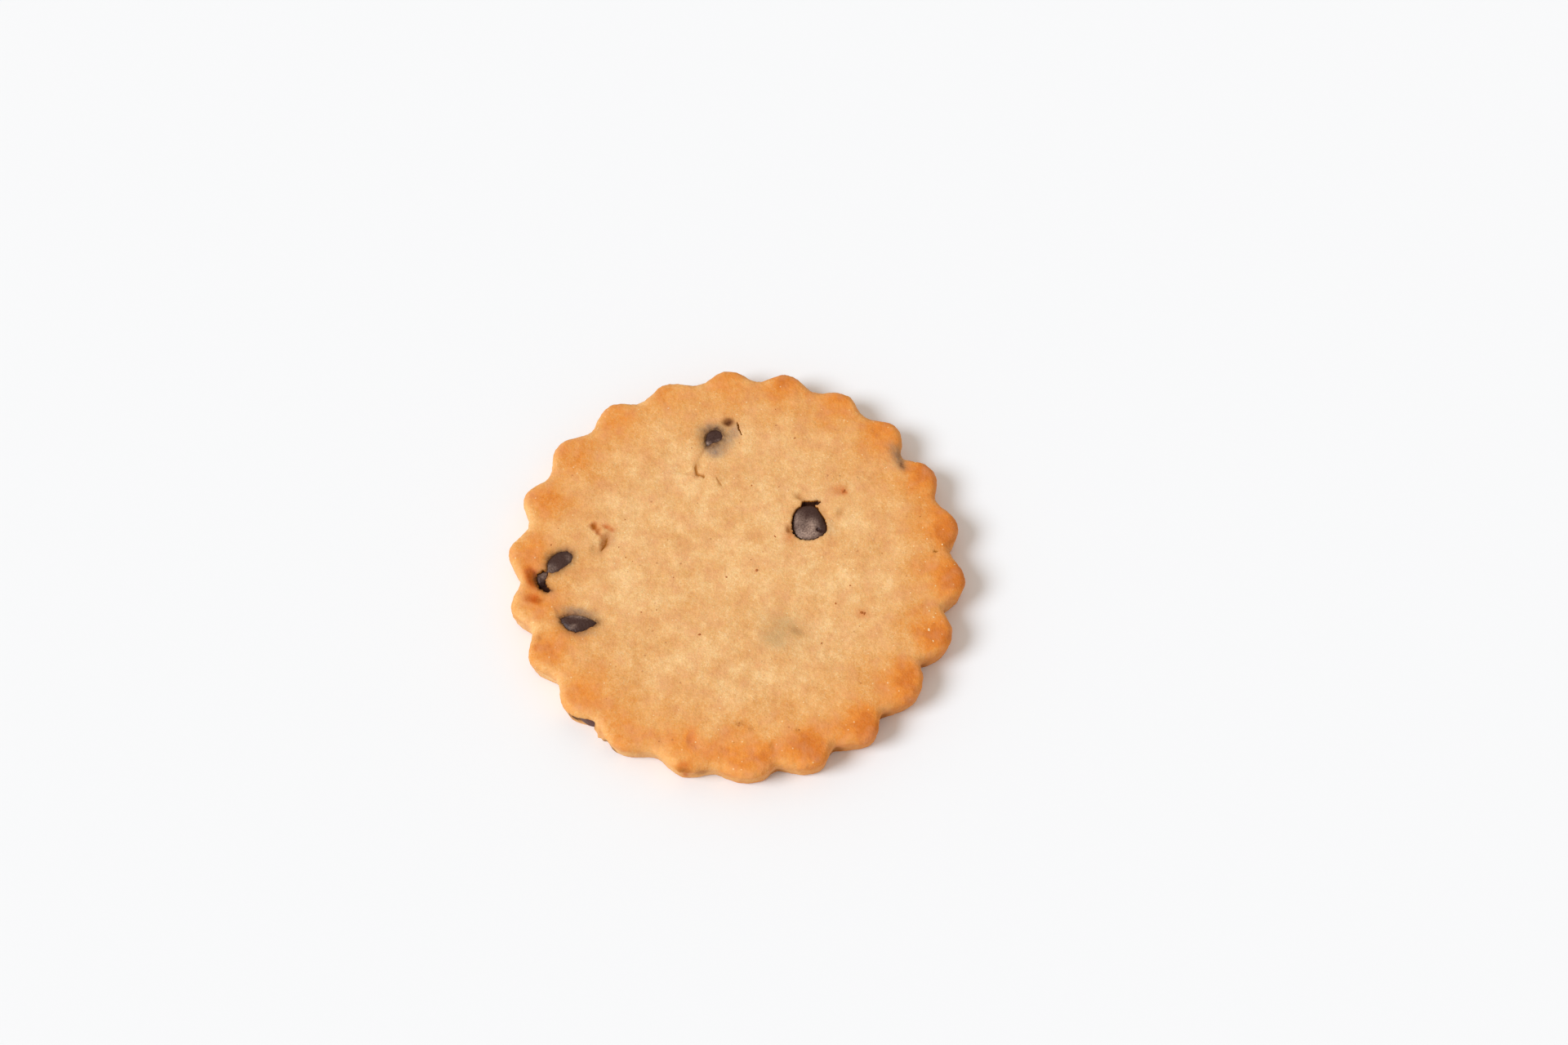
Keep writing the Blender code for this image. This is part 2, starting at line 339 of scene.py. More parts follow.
@dataclass(frozen=True)
class Dent:
    """A soft dent in the top, or a bump where its depth is negative."""

    middle: Place
    size: Place
    depth: float
    turn_deg: float = 0.0
    # Above 1 the dent has a flatter floor and a steeper side than a bell
    fullness: float = 1.3

    def share(self, plan: np.ndarray) -> np.ndarray:
        """How much of the dent there is.

        Args:
            plan: One place in plan to a row.

        Returns:
            From 0 to 1 for each place.
        """
        turn = math.radians(self.turn_deg)
        away = plan - np.array(self.middle)
        along = (away[:, 0] * math.cos(turn) + away[:, 1] * math.sin(turn)) / (self.size[0] / 2.0)
        across = (away[:, 1] * math.cos(turn) - away[:, 0] * math.sin(turn)) / (self.size[1] / 2.0)
        return np.exp(-((along**2 + across**2) ** self.fullness))


def soft_spots(*rows: tuple[float, ...]) -> tuple[Dent, ...]:
    """Dents from rows of the middle's x and y, the length, the width, the depth and perhaps the turn."""
    return tuple(Dent(row[:2], row[2:4], *row[4:]) for row in rows)


def total_depth(spots: tuple[Dent, ...], plan: np.ndarray) -> np.ndarray:
    """Depth of some dents together at places in plan."""
    return sum((spot.depth * spot.share(plan) for spot in spots), start=np.zeros(len(plan)))


@dataclass(frozen=True)
class Patch:
    """Patches of the dough that one thing coloured. A spot's depth says how strongly."""

    tint: Tint
    spots: tuple[Dent, ...]


@dataclass(frozen=True)
class Crack:
    """A narrow crack in the top, along a path of straight runs."""

    path: tuple[Place, ...]
    width: float
    depth: float


@dataclass(frozen=True)
class Opening:
    """A ragged hole in the top that a drop shows through, with the smear of chocolate round it and its wall
    painted dark: chocolate smear and painted shade.
    """

    outline: tuple[Place, ...]
    depth: float
    smear_width: float
    smear: float
    # How dark the hole's wall is painted in the chocolate colour: partly smear, partly painted shade
    wall_smear_and_shade: float = 1.0


@dataclass(frozen=True)
class WallSpot:
    """A place on the wall, for a window that a drop shows through or for a patch of colour."""

    angle_deg: float
    height: float
    half_width_deg: float
    half_height: float
    slope: float = 0.0

    def share(self, angle: np.ndarray, height: np.ndarray) -> np.ndarray:
        """How much of the spot there is.

        Args:
            angle: The angle of each place on the wall.
            height: The height of each place.

        Returns:
            From 0 to 1 for each place.
        """
        away = degrees_from(self.angle_deg, angle)
        level = (height - self.height - self.slope * away) / self.half_height
        return np.exp(-(((away / self.half_width_deg) ** 2 + level**2) ** 2))


@dataclass(frozen=True)
class WallPatch:
    """A patch of the wall that something coloured."""

    tint: Tint
    amount: float
    spot: WallSpot


@dataclass(frozen=True)
class Sum:
    """A step of a material: its operation, and for each input a number or the name of an earlier result."""

    name: str
    operation: str
    inputs: tuple[float | str, ...]
    clamp: bool = False


@dataclass(frozen=True)
class Shortbread:
    """Baked shortbread dough: flour, sugar and butter, rolled, stamped and toasted at the rim.

    The eye sees a matt, sandy crumb, pale gold in the middle and orange brown at the rim. Grains of flour
    and sugar mottle it, and ground chipotle speckles it.
    """

    # The crumb from cream to dark brown, and how far it is toasted where it has each colour
    crust: tuple[tuple[float, str], ...] = (
        (0.0, "e9bd84"), (0.2, "e5ae6f"), (0.5, "e19d55"), (0.78, "e28b38"), (1.0, "d5782a"),
    )
    # The torn dough in a crack or hole, painted darker the deeper it lies: painted shade
    hollow_shade: tuple[tuple[float, str], ...] = ((0.08, "b26c1c"), (0.4, "3a1907"))
    # What stained the dough, and the painted shade laid on in the same colours, from the lowest layer up
    stains: tuple[tuple[Tint, str], ...] = (
        (Tint.SUNKEN, "86683e"), (Tint.CHIPOTLE, "c45a10"), (Tint.TOAST, "9c560c"),
        (Tint.FILM, "967e6b"), (Tint.CHOCOLATE, "42200f"),
    )
    rosy: str = "e4a47a"
    sugar: str = "f4d4a2"
    # Grains of sugar and of chilli: how far apart, how large, how strong and what colour
    specks: tuple[tuple[float, float, float, str], ...] = (
        (0.9, 0.13, 0.6, "f4d4a2"), (1.9, 0.09, 0.4, "a05a30"),
    )
    # What mottles the crumb: the size of each noise, its detail and its roughness
    noises: tuple[tuple[str, float, float, float], ...] = (
        ("blotches", 3.6, 2.0, 0.5), ("mottling", 1.4, 2.0, 0.5), ("crumbs", 0.6, 3.0, 0.65),
        ("pinkness", 1.82, 2.0, 0.5), ("fine", 0.16, 2.0, 0.5), ("wisps", 0.55, 1.0, 0.5),
    )
    # Most of a noise lies in this range
    noise_range: Place = (0.25, 0.75)
    grain: float = 0.32
    # How the noises sway each thing, from their low values to their high ones
    sways: tuple[tuple[str, str, float, float], ...] = (
        ("sand", "crumbs", 0.075, -0.075), ("sand", "fine", 0.07, -0.07),
        ("patches", "blotches", -0.17, 0.17), ("patches", "mottling", -0.09, 0.09),
        ("rosiness", "pinkness", -0.25, 0.35), ("threads", "pinkness", 0.4, -0.1),
        ("stain", "crumbs", 0.65, 1.35),
        ("light", "crumbs", -0.065, 0.065), ("light", "fine", -0.05, 0.05),
        ("mottle_light", "mottling", 0.035, -0.035), ("blotch_light", "blotches", 0.05, -0.05),
    )
    # As the toasting goes from the first value to the second, the sandiness goes from the third to the last
    crisping: tuple[float, ...] = (0.35, 0.85, 1.0, 0.5)
    # The steps from those to the toasting, the threads of sugar, the shade and the relief
    sums: tuple[Sum, ...] = (
        # Where the oven browned the dough its crumb is finer, and its blotches are stronger
        Sum("blotchiness", "MULTIPLY_ADD", ("browning", 0.35, 0.85)),
        Sum("sanded", "MULTIPLY_ADD", ("sand", "sandiness", "browning")),
        Sum("toasting", "MULTIPLY_ADD", ("patches", "blotchiness", "sanded")),
        # Thin threads of sugar, where a noise is near the middle of its range
        Sum("off_middle", "SUBTRACT", ("wisps", 0.5)),
        Sum("away", "ABSOLUTE", ("off_middle",)),
        Sum("ridge", "MULTIPLY_ADD", ("away", -16.0, 1.0), True),
        Sum("broken_ridge", "MULTIPLY", ("ridge", "threads"), True),
        Sum("on_sand", "MULTIPLY_ADD", ("sandiness", 1.6, -0.6)),
        Sum("thread", "MULTIPLY", ("broken_ridge", "on_sand")),
        # Light and shade between the crumbs
        Sum("crumb_light", "MULTIPLY_ADD", ("light", "sandiness", 1.0)),
        Sum("mottled_light", "ADD", ("crumb_light", "mottle_light")),
        Sum("shade", "ADD", ("mottled_light", "blotch_light")),
        # How much painted shade darkens the bare cracks and holes, by their depth
        Sum("hollow_shade_share", "MULTIPLY", ("cut_depth", 7.0), True),
        # The height of the fine relief
        Sum("crumb_height", "MULTIPLY", ("crumbs", 0.9)),
        Sum("fine_height", "MULTIPLY", ("fine", 0.4)),
        Sum("sand_height", "ADD", ("crumb_height", "fine_height")),
        Sum("height", "MULTIPLY_ADD", ("grains", -0.4, "sand_height")),
    )
    roughness: float = 0.75
    # The crumb's pores swallow most of the shine
    gloss: float = 0.2
    # Butter and baked starch have an index of refraction of about 1.46
    ior: float = 1.46
    # Light goes well under a millimetre into the crumb, red the furthest
    scatter: float = 0.1
    scatter_radius: tuple[float, float, float] = (1.0, 0.4, 0.15)
    scatter_depth: float = 0.6
    relief: float = 0.085

    def material(self) -> bpy.types.Material:
        """Makes the material of the biscuit.

        Returns:
            The material.
        """
        material, tree, shader = new_material("baked_shortbread")
        add = partial(add_node, tree)
        place = add("TexCoord", output="Object")
        made = {name: add("Attribute", (), "Fac", attribute_name=name) for name in ("browning", "cut_depth")}
        for name, size, detail, roughness in self.noises:
            inputs = {"Vector": place, "Scale": per_metre(size), "Detail": detail, "Roughness": roughness}
            made[name] = add("TexNoise", inputs, "Fac")
        made["grains"] = add("TexVoronoi", {"Vector": place, "Scale": per_metre(self.grain)}, "Distance")
        made["sandiness"] = add("MapRange", (made["browning"], *self.crisping))
        for name, source, low, high in self.sways:
            part = add("MapRange", (made[source], *self.noise_range, low, high))
            made[name] = add("Math", (made[name], part), operation="ADD") if name in made else part
        for step in self.sums:
            inputs = tuple(made.get(part, part) for part in step.inputs)
            made[step.name] = add("Math", inputs, operation=step.operation, use_clamp=step.clamp)

        for name, source, stops in (("crust", "toasting", self.crust), ("shaded_hollow", "cut_depth", self.hollow_shade)):
            made[name] = add("ValToRGB", (made[source],), "Color")
            elements = made[name].node.color_ramp.elements
            for position, _ in stops[1:-1]:
                elements.new(position)
            for element, (position, hex_colour) in zip(elements, stops):
                element.position, element.color = position, linear(hex_colour)

        layers = [(made["rosiness"], linear(self.rosy)), (made["thread"], linear(self.sugar))]
        for spacing, size, strength, hex_colour in self.specks:
            cells = add("TexVoronoi", {"Vector": place, "Scale": per_metre(spacing)}, "Distance")
            draw = add("SeparateColor", (cells.node.outputs["Color"],), "Green")
            reach = add("Math", (draw, size), operation="MULTIPLY")
            speck = add("Math", (cells, reach), operation="LESS_THAN")
            layers.append((add("Math", (speck, strength), operation="MULTIPLY"), linear(hex_colour)))
        for tint, hex_colour in self.stains:
            amount = add("Attribute", (), "Fac", attribute_name=tint.value)
            share = add("Math", (amount, made["stain"]), operation="MULTIPLY", use_clamp=True)
            layers.append((share, linear(hex_colour)))
        colour = made["crust"]
        for share, above in layers:
            colour = add("Mix", {SHARE: share, BELOW: colour, ABOVE: above}, MIXED, data_type="RGBA")
        colour = add("VectorMath", {0: colour, "Scale": made["shade"]}, operation="SCALE")
        # Painted shade in the bare cracks and holes, darker where they are deeper
        shaded_hollow = {SHARE: made["hollow_shade_share"], BELOW: colour, ABOVE: made["shaded_hollow"]}
        colour = add("Mix", shaded_hollow, MIXED, data_type="RGBA")

        looks = {
            "Base Color": colour,
            "Normal": add("Bump", {"Height": made["height"], "Strength": 1.0, "Distance": self.relief * MM}),
            "Roughness": self.roughness,
            "IOR": self.ior,
            "Specular IOR Level": self.gloss,
            "Subsurface Weight": self.scatter,
            "Subsurface Radius": self.scatter_radius,
            "Subsurface Scale": self.scatter_depth * MM,
        }
        wire(shader, looks)
        return material


@dataclass(frozen=True)
class DarkChocolate:
    """Dark baking chocolate: moulded drops that softened in the oven and set again.

    The eye sees a nearly black brown with a satin sheen, dulled where fat bloom and flour lie on it. The
    bloom colour also paints highlights on some drops, and taking bloom away paints shade.
    """

    name: str = "dark_chocolate"
    dark: str = "2a120b"
    brown: str = "3e2018"
    bloom_and_painted_light: str = "a68a7a"
    # Cocoa butter has an index of refraction of about 1.47
    ior: float = 1.47
    # Dust and fat on the surface take away part of the shine
    gloss: float = 0.3
    roughness: float = 0.44
    dusty_roughness: float = 0.75
    # The size and the detail of its clouds and of its dust, and how the dust's noise breaks up the bloom
    cloud: Place = (0.9, 3.0)
    dust: Place = (0.24, 2.0)
    dusting: tuple[float, ...] = (0.3, 0.7, 0.4, 1.5)
    relief: float = 0.08

    def material(self) -> bpy.types.Material:
        """Makes the material of the drops.

        Returns:
            The material.
        """
        material, tree, shader = new_material(self.name)
        add = partial(add_node, tree)
        place = add("TexCoord", output="Object")
        clouds, grains = (
            add("TexNoise", {"Vector": place, "Scale": per_metre(size), "Detail": detail}, "Fac")
            for size, detail in (self.cloud, self.dust)
        )
        bloom_and_painted_light = add("Attribute", (), "Fac", attribute_name="bloom_and_painted_light")
        uneven = add("MapRange", (grains, *self.dusting))
        dusty = add("Math", (bloom_and_painted_light, uneven), operation="MULTIPLY", use_clamp=True)
        colour = linear(self.dark)
        for share, hex_colour in ((clouds, self.brown), (dusty, self.bloom_and_painted_light)):
            inputs = {SHARE: share, BELOW: colour, ABOVE: linear(hex_colour)}
            colour = add("Mix", inputs, MIXED, data_type="RGBA")
        looks = {
            "Base Color": colour,
            "Normal": add("Bump", {"Height": grains, "Strength": 1.0, "Distance": self.relief * MM}),
            "Roughness": add("MapRange", (dusty, 0.0, 1.0, self.roughness, self.dusty_roughness)),
            "IOR": self.ior,
            "Specular IOR Level": self.gloss,
        }
        wire(shader, looks)
        return material


@dataclass(frozen=True)
class LooseGrains:
    """What loose grains are made of, each grain of a colour between two."""

    name: str
    pale: str
    dark: str
    ior: float
    roughness: float
    draw_size: float

    def material(self) -> bpy.types.Material:
        """Makes the material of the grains.

        Returns:
            The material.
        """
        material, tree, shader = new_material(self.name)
        place = add_node(tree, "TexCoord", output="Object")
        draw = add_node(tree, "TexNoise", {"Vector": place, "Scale": per_metre(self.draw_size)}, "Fac")
        inputs = {SHARE: draw, BELOW: linear(self.pale), ABOVE: linear(self.dark)}
        colour = add_node(tree, "Mix", inputs, MIXED, data_type="RGBA")
        wire(shader, {"Base Color": colour, "Roughness": self.roughness, "IOR": self.ior})
        return material


# Cane sugar crystals that stayed whole in the dough: the eye sees small pale glints. Sugar's index of
# refraction is about 1.56.
CANE_SUGAR = LooseGrains("cane_sugar", "f4d2a2", "e8bb80", ior=1.56, roughness=0.25, draw_size=1.0)
# Dried, smoked chilli skin, ground coarse: the eye sees matt reddish brown flakes. Dried plant skin's index
# of refraction is about 1.45.
SMOKED_CHILLI = LooseGrains("smoked_chilli", "b8651c", "9a5416", ior=1.45, roughness=0.6, draw_size=2.3)


@dataclass(frozen=True)
class BakeLayout:
    """Where the biscuit's faces lie on its flat map: the top, the underside, and strips for the edge."""

    top: Place = (0.352, 0.645)
    top_reach: float = 0.345
    under: Place = (0.85, 0.845)
    under_reach: float = 0.14
    strips: int = 3
    margin: float = 0.01
    first_strip: float = 0.085
    strip_pitch: float = 0.093
    strip_height: float = 0.08


@dataclass
class Biscuit:
    """The baked dough, from its fluted rim to the hollows that the drops lie in."""

    openings: tuple[Opening, ...]
    rim: Rim = field(default_factory=Rim)
    finish: Shortbread = field(default_factory=Shortbread)
    layout: BakeLayout = field(default_factory=BakeLayout)
    # The section, and how the baked top rises and falls
    thickness: float = 4.8
    top_round: float = 1.2
    bottom_round: float = 0.5
    undercut: float = 0.45
    shoulder_drop: float = 0.22
    shoulder_start: float = 0.84
    swell: Bumps = Bumps(0.11, 7.5)
    lump: Bumps = Bumps(0.07, 2.4)
    lump_level: float = 7.5
    wall_lump: Bumps = Bumps(0.09, 2.4)
    # The fine relief of the crumb, and the raggedness of its broken edges
    crumb: Bumps = Bumps(0.045, 1.1, 3.7)
    grain: Bumps = Bumps(0.03, 0.42, 9.1)
    wall_crumb: float = 2.4
    ragged: Bumps = Bumps(0.08, 0.5, 5.3)
    crack_raggedness: float = 0.6
    wander: tuple[Bumps, ...] = (Bumps(0.25, 0.8, 2.2), Bumps(0.25, 0.8, 7.4))
    # The mesh
    cells: int = 280
    # Turned so that no opening lies on the grid's diagonals, where its cells are slanted
    mesh_turn_deg: float = 20.0
    flute_fade: int = 8
    top_round_steps: int = 6
    wall_steps: int = 8
    bottom_round_steps: int = 2
    # Keeps the last step of the top's rounding with the top
    least_upward: float = 1e-6
    floor_share: float = 0.5
    # How the mesh is drawn to the hollows' edges, and kept where it is at the rim
    hollow_edge: float = 0.03
    snap_reach: float = 0.07
    snap_margin: float = 0.21
    snap_rounds: int = 3
    snap_probe: float = 0.02
    least_slope: float = 0.3
    rim_hold: int = 12
    snap_freedom: float = 6.0
    smear_fade: float = 1.2

    cracks: tuple[Crack, ...] = (
        Crack(((-5.55, 14.6), (-5.5, 13.9), (-5.45, 13.3), (-4.9, 13.1), (-4.45, 12.85)), 0.34, 0.12),
        Crack(((-2.75, 12.7), (-2.5, 12.1), (-2.05, 11.5)), 0.2, 0.1),
        Crack(((-0.1, 21.2), (0.15, 20.6), (0.1, 20.25), (0.35, 19.9), (0.5, 19.3)), 0.15, 0.3),
        Crack(((26.05, 1.8), (26.4, 1.75)), 0.26, 0.14),
        # The torn place behind the left drops
        Crack(((-17.1, 3.7), (-17.1, 3.3), (-17.3, 2.7), (-17.7, 1.95)), 0.22, 0.16),
    )
    dents: tuple[Dent, ...] = soft_spots(
        (-1.15, 21.15, 1.5, 1.1, 0.45), (-4.5, 16.6, 0.6, 2.4, 0.18, -28.0), (-0.6, 19.6, 1.6, 1.6, 0.12),
        (-2.9, 17.0, 2.2, 1.5, -0.1), (-17.4, 3.0, 1.2, 2.4, 0.25, -12.0), (-18.8, 5.4, 0.9, 0.9, 0.3),
        (-18.2, 4.6, 0.8, 0.9, 0.22), (-17.2, 5.3, 1.0, 0.5, 0.15, -20.0), (-18.6, 2.3, 0.8, 0.8, 0.18),
        (8.4, 9.9, 1.2, 0.9, 0.22, -30.0), (7.0, 5.0, 0.6, 1.1, 0.3, 10.0), (13.8, 7.6, 1.1, 1.2, 0.16),
        (12.7, 11.2, 0.9, 0.6, 0.1), (-26.5, -5.0, 1.8, 1.1, 0.2, -10.0),
        (-26.65, -1.8, 1.3, 2.6, 0.4, 18.0), (-5.6, -25.0, 0.9, 1.0, 0.16), (0.8, -22.7, 1.3, 0.6, 0.12),
        (2.2, -23.5, 0.8, 0.5, 0.1), (4.8, -25.8, 0.7, 1.1, 0.14), (8.1, -23.7, 0.8, 0.6, 0.1),
        (-7.7, 14.0, 2.2, 1.4, 0.14, -12.0), (-5.3, 13.9, 1.0, 2.4, 0.12),
    )
    patches: tuple[Patch, ...] = tuple(
        Patch(tint, soft_spots(*rows))
        for tint, *rows in (
            # What covers and surrounds the drop near the far rim
            (Tint.TOAST, (-1.25, 21.3, 1.5, 1.2, 0.9)),
            (
                Tint.CHOCOLATE,
                (-1.3, 21.35, 1.3, 1.0, 0.75), (-5.0, 19.5, 1.6, 2.4, 0.22), (-3.4, 17.6, 2.4, 1.0, 0.3),
            ),
            (
                Tint.FILM,
                (-3.2, 17.0, 2.4, 2.0, 0.72), (-2.8, 16.3, 2.6, 1.4, 0.4), (-1.5, 18.2, 2.2, 2.8, 0.5),
                (-0.4, 19.8, 1.8, 2.6, 0.55), (-3.4, 20.3, 3.4, 1.6, 0.5),
            ),
            # Smears beside the other drops
            (
                Tint.FILM,
                (-20.5, -7.05, 4.0, 1.4, 0.6, -10.0), (-19.2, -10.2, 3.0, 0.8, 0.3),
                (12.4, 5.2, 1.6, 3.0, 0.2), (21.4, 16.0, 1.8, 4.4, 0.5, 18.0),
            ),
            (
                Tint.CHOCOLATE,
                (-17.9, -8.6, 0.8, 1.0, 0.3), (-23.4, -7.0, 0.5, 1.8, 0.3, 25.0),
                (-24.8, 1.0, 1.3, 1.8, 0.3), (21.8, 15.3, 1.0, 2.8, 0.36, 20.0),
                (21.2, 17.2, 1.6, 2.2, 0.2),
            ),
            # Chipotle in the dough, and what lies beside the torn place and at the left rim
            (
                Tint.CHIPOTLE,
                (13.6, 11.0, 2.4, 1.8, 0.4), (14.2, 10.6, 1.1, 0.8, 0.7), (-18.9, 5.4, 1.1, 1.0, 0.7),
                (-18.3, 4.7, 0.7, 1.9, 0.6, 35.0), (-17.2, 5.3, 1.3, 0.7, 0.85, -15.0),
                (-16.5, 4.8, 1.1, 0.6, 0.8, -40.0), (-16.9, 3.5, 1.4, 1.8, 0.24),
                (-26.3, -5.1, 2.3, 1.3, 1.0, -12.0), (-26.75, -2.0, 1.6, 3.4, 1.0, 26.0),
                (7.0, 3.8, 1.5, 2.6, 0.42), (9.0, 2.4, 3.0, 1.8, 0.12), (2.6, -1.1, 0.8, 0.7, 0.3),
                (-6.4, -28.3, 1.5, 1.0, 0.5), (-25.8, -12.0, 0.7, 1.2, 0.4), (16.4, -7.4, 1.8, 1.6, 0.42),
            ),
            (Tint.FILM, (-16.6, 3.6, 1.8, 2.6, 0.14)),
            (Tint.TOAST, (-25.7, -5.2, 1.2, 0.6, 0.5, -30.0), (-25.4, -10.8, 0.5, 1.0, 0.5, 15.0)),
            # Toasted spots, and painted shade in the chocolate colour where the hole's sloping wall meets the
            # drop beside the rim
            (
                Tint.TOAST,
                (-17.45, 3.0, 1.2, 2.7, 0.85, -14.0), (-18.9, 5.4, 0.9, 0.8, 0.8),
                (-18.2, 4.6, 0.5, 1.6, 0.5, 35.0), (-18.8, 2.0, 1.0, 2.8, 0.3),
                (8.3, 9.9, 1.4, 1.0, 0.45, -30.0), (6.95, 4.9, 0.8, 1.6, 0.8, 10.0),
                (13.8, 7.7, 1.2, 1.2, 0.35), (-5.4, 14.2, 0.8, 2.0, 0.4),
                (-4.9, 13.0, 1.6, 0.7, 0.35, -20.0), (-2.4, 12.1, 0.8, 1.8, 0.35, 25.0),
                (-8.0, 14.65, 0.6, 0.4, 0.3), (-6.7, 13.3, 0.6, 0.4, 0.3), (0.7, -22.8, 1.2, 0.6, 0.3),
                (2.2, -23.5, 0.7, 0.5, 0.35), (4.8, -25.9, 0.6, 1.1, 0.3), (8.1, -23.7, 0.8, 0.6, 0.3),
                (-26.4, -2.4, 0.9, 3.0, 0.8, 30.0),
            ),
            # Painted shade at the foot of the hole's sloping left wall
            (Tint.CHOCOLATE, (-26.15, -2.3, 0.6, 3.0, 0.6, 26.0)),
            # The drop that lies wholly under the dough
            (
                Tint.SUNKEN,
                (6.0, -9.9, 7.4, 5.6, 0.2, -40.0), (7.8, -9.9, 1.9, 1.2, 0.36, -35.0),
                (6.4, -8.8, 3.0, 2.4, 0.18), (5.0, -11.0, 3.4, 2.8, 0.26),
            ),
        )
    )
    wall_windows: tuple[WallSpot, ...] = (WallSpot(-133.6, 2.25, 4.4, 0.85, 0.18),)
    wall_window_depth: float = 0.4
    window_smear: float = 0.8
    wall_bulges: tuple[WallSpot, ...] = (WallSpot(-127.9, 2.3, 1.4, 1.2), WallSpot(-126.2, 1.5, 1.2, 1.0))
    wall_bulge_height: float = 0.65
    wall_patches: tuple[WallPatch, ...] = tuple(
        WallPatch(tint, amount, WallSpot(*spot))
        for tint, amount, *spot in (
            (Tint.CHOCOLATE, 1.0, -133.8, 2.25, 4.6, 0.95, 0.18),
            (Tint.CHOCOLATE, 0.9, -123.4, 1.2, 2.4, 0.6, -0.2),
            (Tint.TOAST, 0.6, -103.0, 3.7, 2.0, 0.5),
            (Tint.CHIPOTLE, 0.6, -102.4, 2.2, 0.7, 1.2),
            (Tint.TOAST, 0.55, -98.6, 2.4, 1.6, 1.2),
            # The notches at the near right, where the wall lies in shade: painted shade in the creases, and a
            # wide chipotle patch as painted shade over the right-hand wall
            (Tint.TOAST, 0.75, -79.0, 0.9, 2.6, 1.1),
            (Tint.TOAST, 0.85, -63.0, 1.3, 2.2, 1.3),
            (Tint.TOAST, 0.85, -47.5, 1.3, 2.4, 1.4),
            (Tint.TOAST, 0.85, -29.5, 0.9, 2.2, 1.1),
            (Tint.TOAST, 0.85, -12.5, 1.0, 1.8, 1.2),
            (Tint.CHIPOTLE, 0.3, -38.0, 1.5, 30.0, 2.0),
        )
    )
    # Where the mesh is finer: middle, reach and pull
    fine_spots: tuple[tuple[Place, float, float], ...] = (
        ((9.7, 6.5), 8.0, 0.45), ((-1.8, 19.2), 7.5, 0.45), ((-4.4, 13.2), 3.4, 0.34),
        ((-24.0, -0.8), 6.4, 0.45), ((-20.6, -8.7), 5.6, 0.42), ((-17.8, 3.7), 3.4, 0.34),
    )
    # How the toasting grows towards the rim
    toasting_start: float = 0.55
    toasting_end: float = 0.92
    toasting_curve: float = 1.8
    plain_toasting: float = 0.2
    crest_toasting: float = 0.08
    front_toasting: Wave = Wave(1, 0.09, -75.0)
    rim_toasting: float = 0.55
    # The rim's edge browner on the right, away from the light, and paler on the left, towards it: painted
    # light and shade
    edge_painted_light: Wave = Wave(1, 0.2, 15.0)
    edge_painted_light_start: float = 0.88
    edge_paleness: float = 0.14
    edge_paleness_start: float = 0.94
    # How much less the wall is toasted, the heights between which that sets in, and those where it ends
    wall_paleness: float = 0.2
    pale_below: Place = (3.4, 1.8)
    pale_above: Place = (1.0, 0.2)
    # The heights between which the stains of the top and of the wall fade
    top_stains: Place = (2.4, 3.8)
    wall_stains: Place = (4.75, 4.5)
    # The wall lies beyond this share of the radius
    wall_start: float = 0.9
    # A crack under this much chocolate shows no torn dough and gets no painted shade from its depth
    smear_over_cut: Place = (0.25, 0.6)
    # Zones where the top is browner or paler: toasting, and at the front left, which faces the light, paler
    # as painted light
    toasting_and_painted_light_zones: tuple[Dent, ...] = soft_spots(
        (10.1, -25.4, 4.4, 3.4, 0.05), (3.9, -26.4, 4.0, 2.4, 0.14), (16.9, -22.0, 3.6, 4.4, 0.2, -20.0),
        (22.0, -15.8, 3.4, 5.0, 0.2, -10.0), (25.6, -9.9, 2.6, 3.0, 0.1), (27.4, -2.6, 3.4, 4.0, 0.08),
        (27.3, 3.7, 1.8, 2.4, 0.12), (-13.5, -22.5, 10.0, 4.0, -0.18, -30.0),
        (-21.5, 16.5, 7.0, 2.4, -0.14, 52.0), (-4.7, -26.7, 6.0, 2.2, -0.08, -10.0),
        (-5.6, -24.8, 1.8, 2.6, 0.22), (-3.0, -26.5, 2.6, 2.0, 0.1), (-20.0, 18.5, 3.0, 2.0, 0.15),
        (-26.9, -2.0, 1.4, 3.4, 0.5, 25.0),
    )

    def top_height(self, plan: np.ndarray, ring: np.ndarray) -> np.ndarray:
        """Height of the top before its crumb, cracks and hollows.

        Args:
            plan: One place in plan to a row.
            ring: For each place, 0 in the middle and 1 at the start of the rounded edge.

        Returns:
            The height for each place.
        """
        cutter = plan + self.rim.middle()
        level = np.full(len(plan), self.lump_level)
        unevenness = self.swell.at(flat(cutter)) + self.lump.at(np.column_stack([cutter, level]))
        edge = np.clip((ring - self.shoulder_start) / (1.0 - self.shoulder_start), 0.0, None)
        return self.thickness + unevenness - self.shoulder_drop * edge**2

    def relief(self, places: np.ndarray) -> np.ndarray:
        """How far the crumb stands out of the surface at some places."""
        return self.crumb.at(places) + self.grain.at(places)

    def height_at(self, plan: np.ndarray) -> np.ndarray:
        """Height of the finished top outside the openings.

        Args:
            plan: One place in plan to a row.

        Returns:
            The height for each place.
        """
        angle, radius = self.rim.polar(plan)
        height = self.top_height(plan, radius / (self.rim.plain_radius(angle) - self.top_round))
        return height + self.relief(np.column_stack([plan, height])) - total_depth(self.dents, plan)

    def hollows(self, plan: np.ndarray) -> list[tuple[np.ndarray, float]]:
        """How far inside each opening and crack the places are, with its depth.

        Args:
            plan: One place in plan to a row.

        Returns:
            For each hollow, the distance to its ragged edge, negative outside it, and its depth.
        """
        ragged = self.ragged.at(flat(plan))
        found = [(depth_inside(plan, hole.outline) + ragged, hole.depth) for hole in self.openings]
        for crack in self.cracks:
            inside = crack.width / 2.0 - distance_to_path(plan, crack.path)
            found.append((inside + self.crack_raggedness * ragged, crack.depth))
        return found

    def into_hollow(self, plan: np.ndarray) -> np.ndarray:
        """Distance to the edge of the nearest hollow, negative outside it."""
        return np.max([distance for distance, _ in self.hollows(plan)], axis=0)

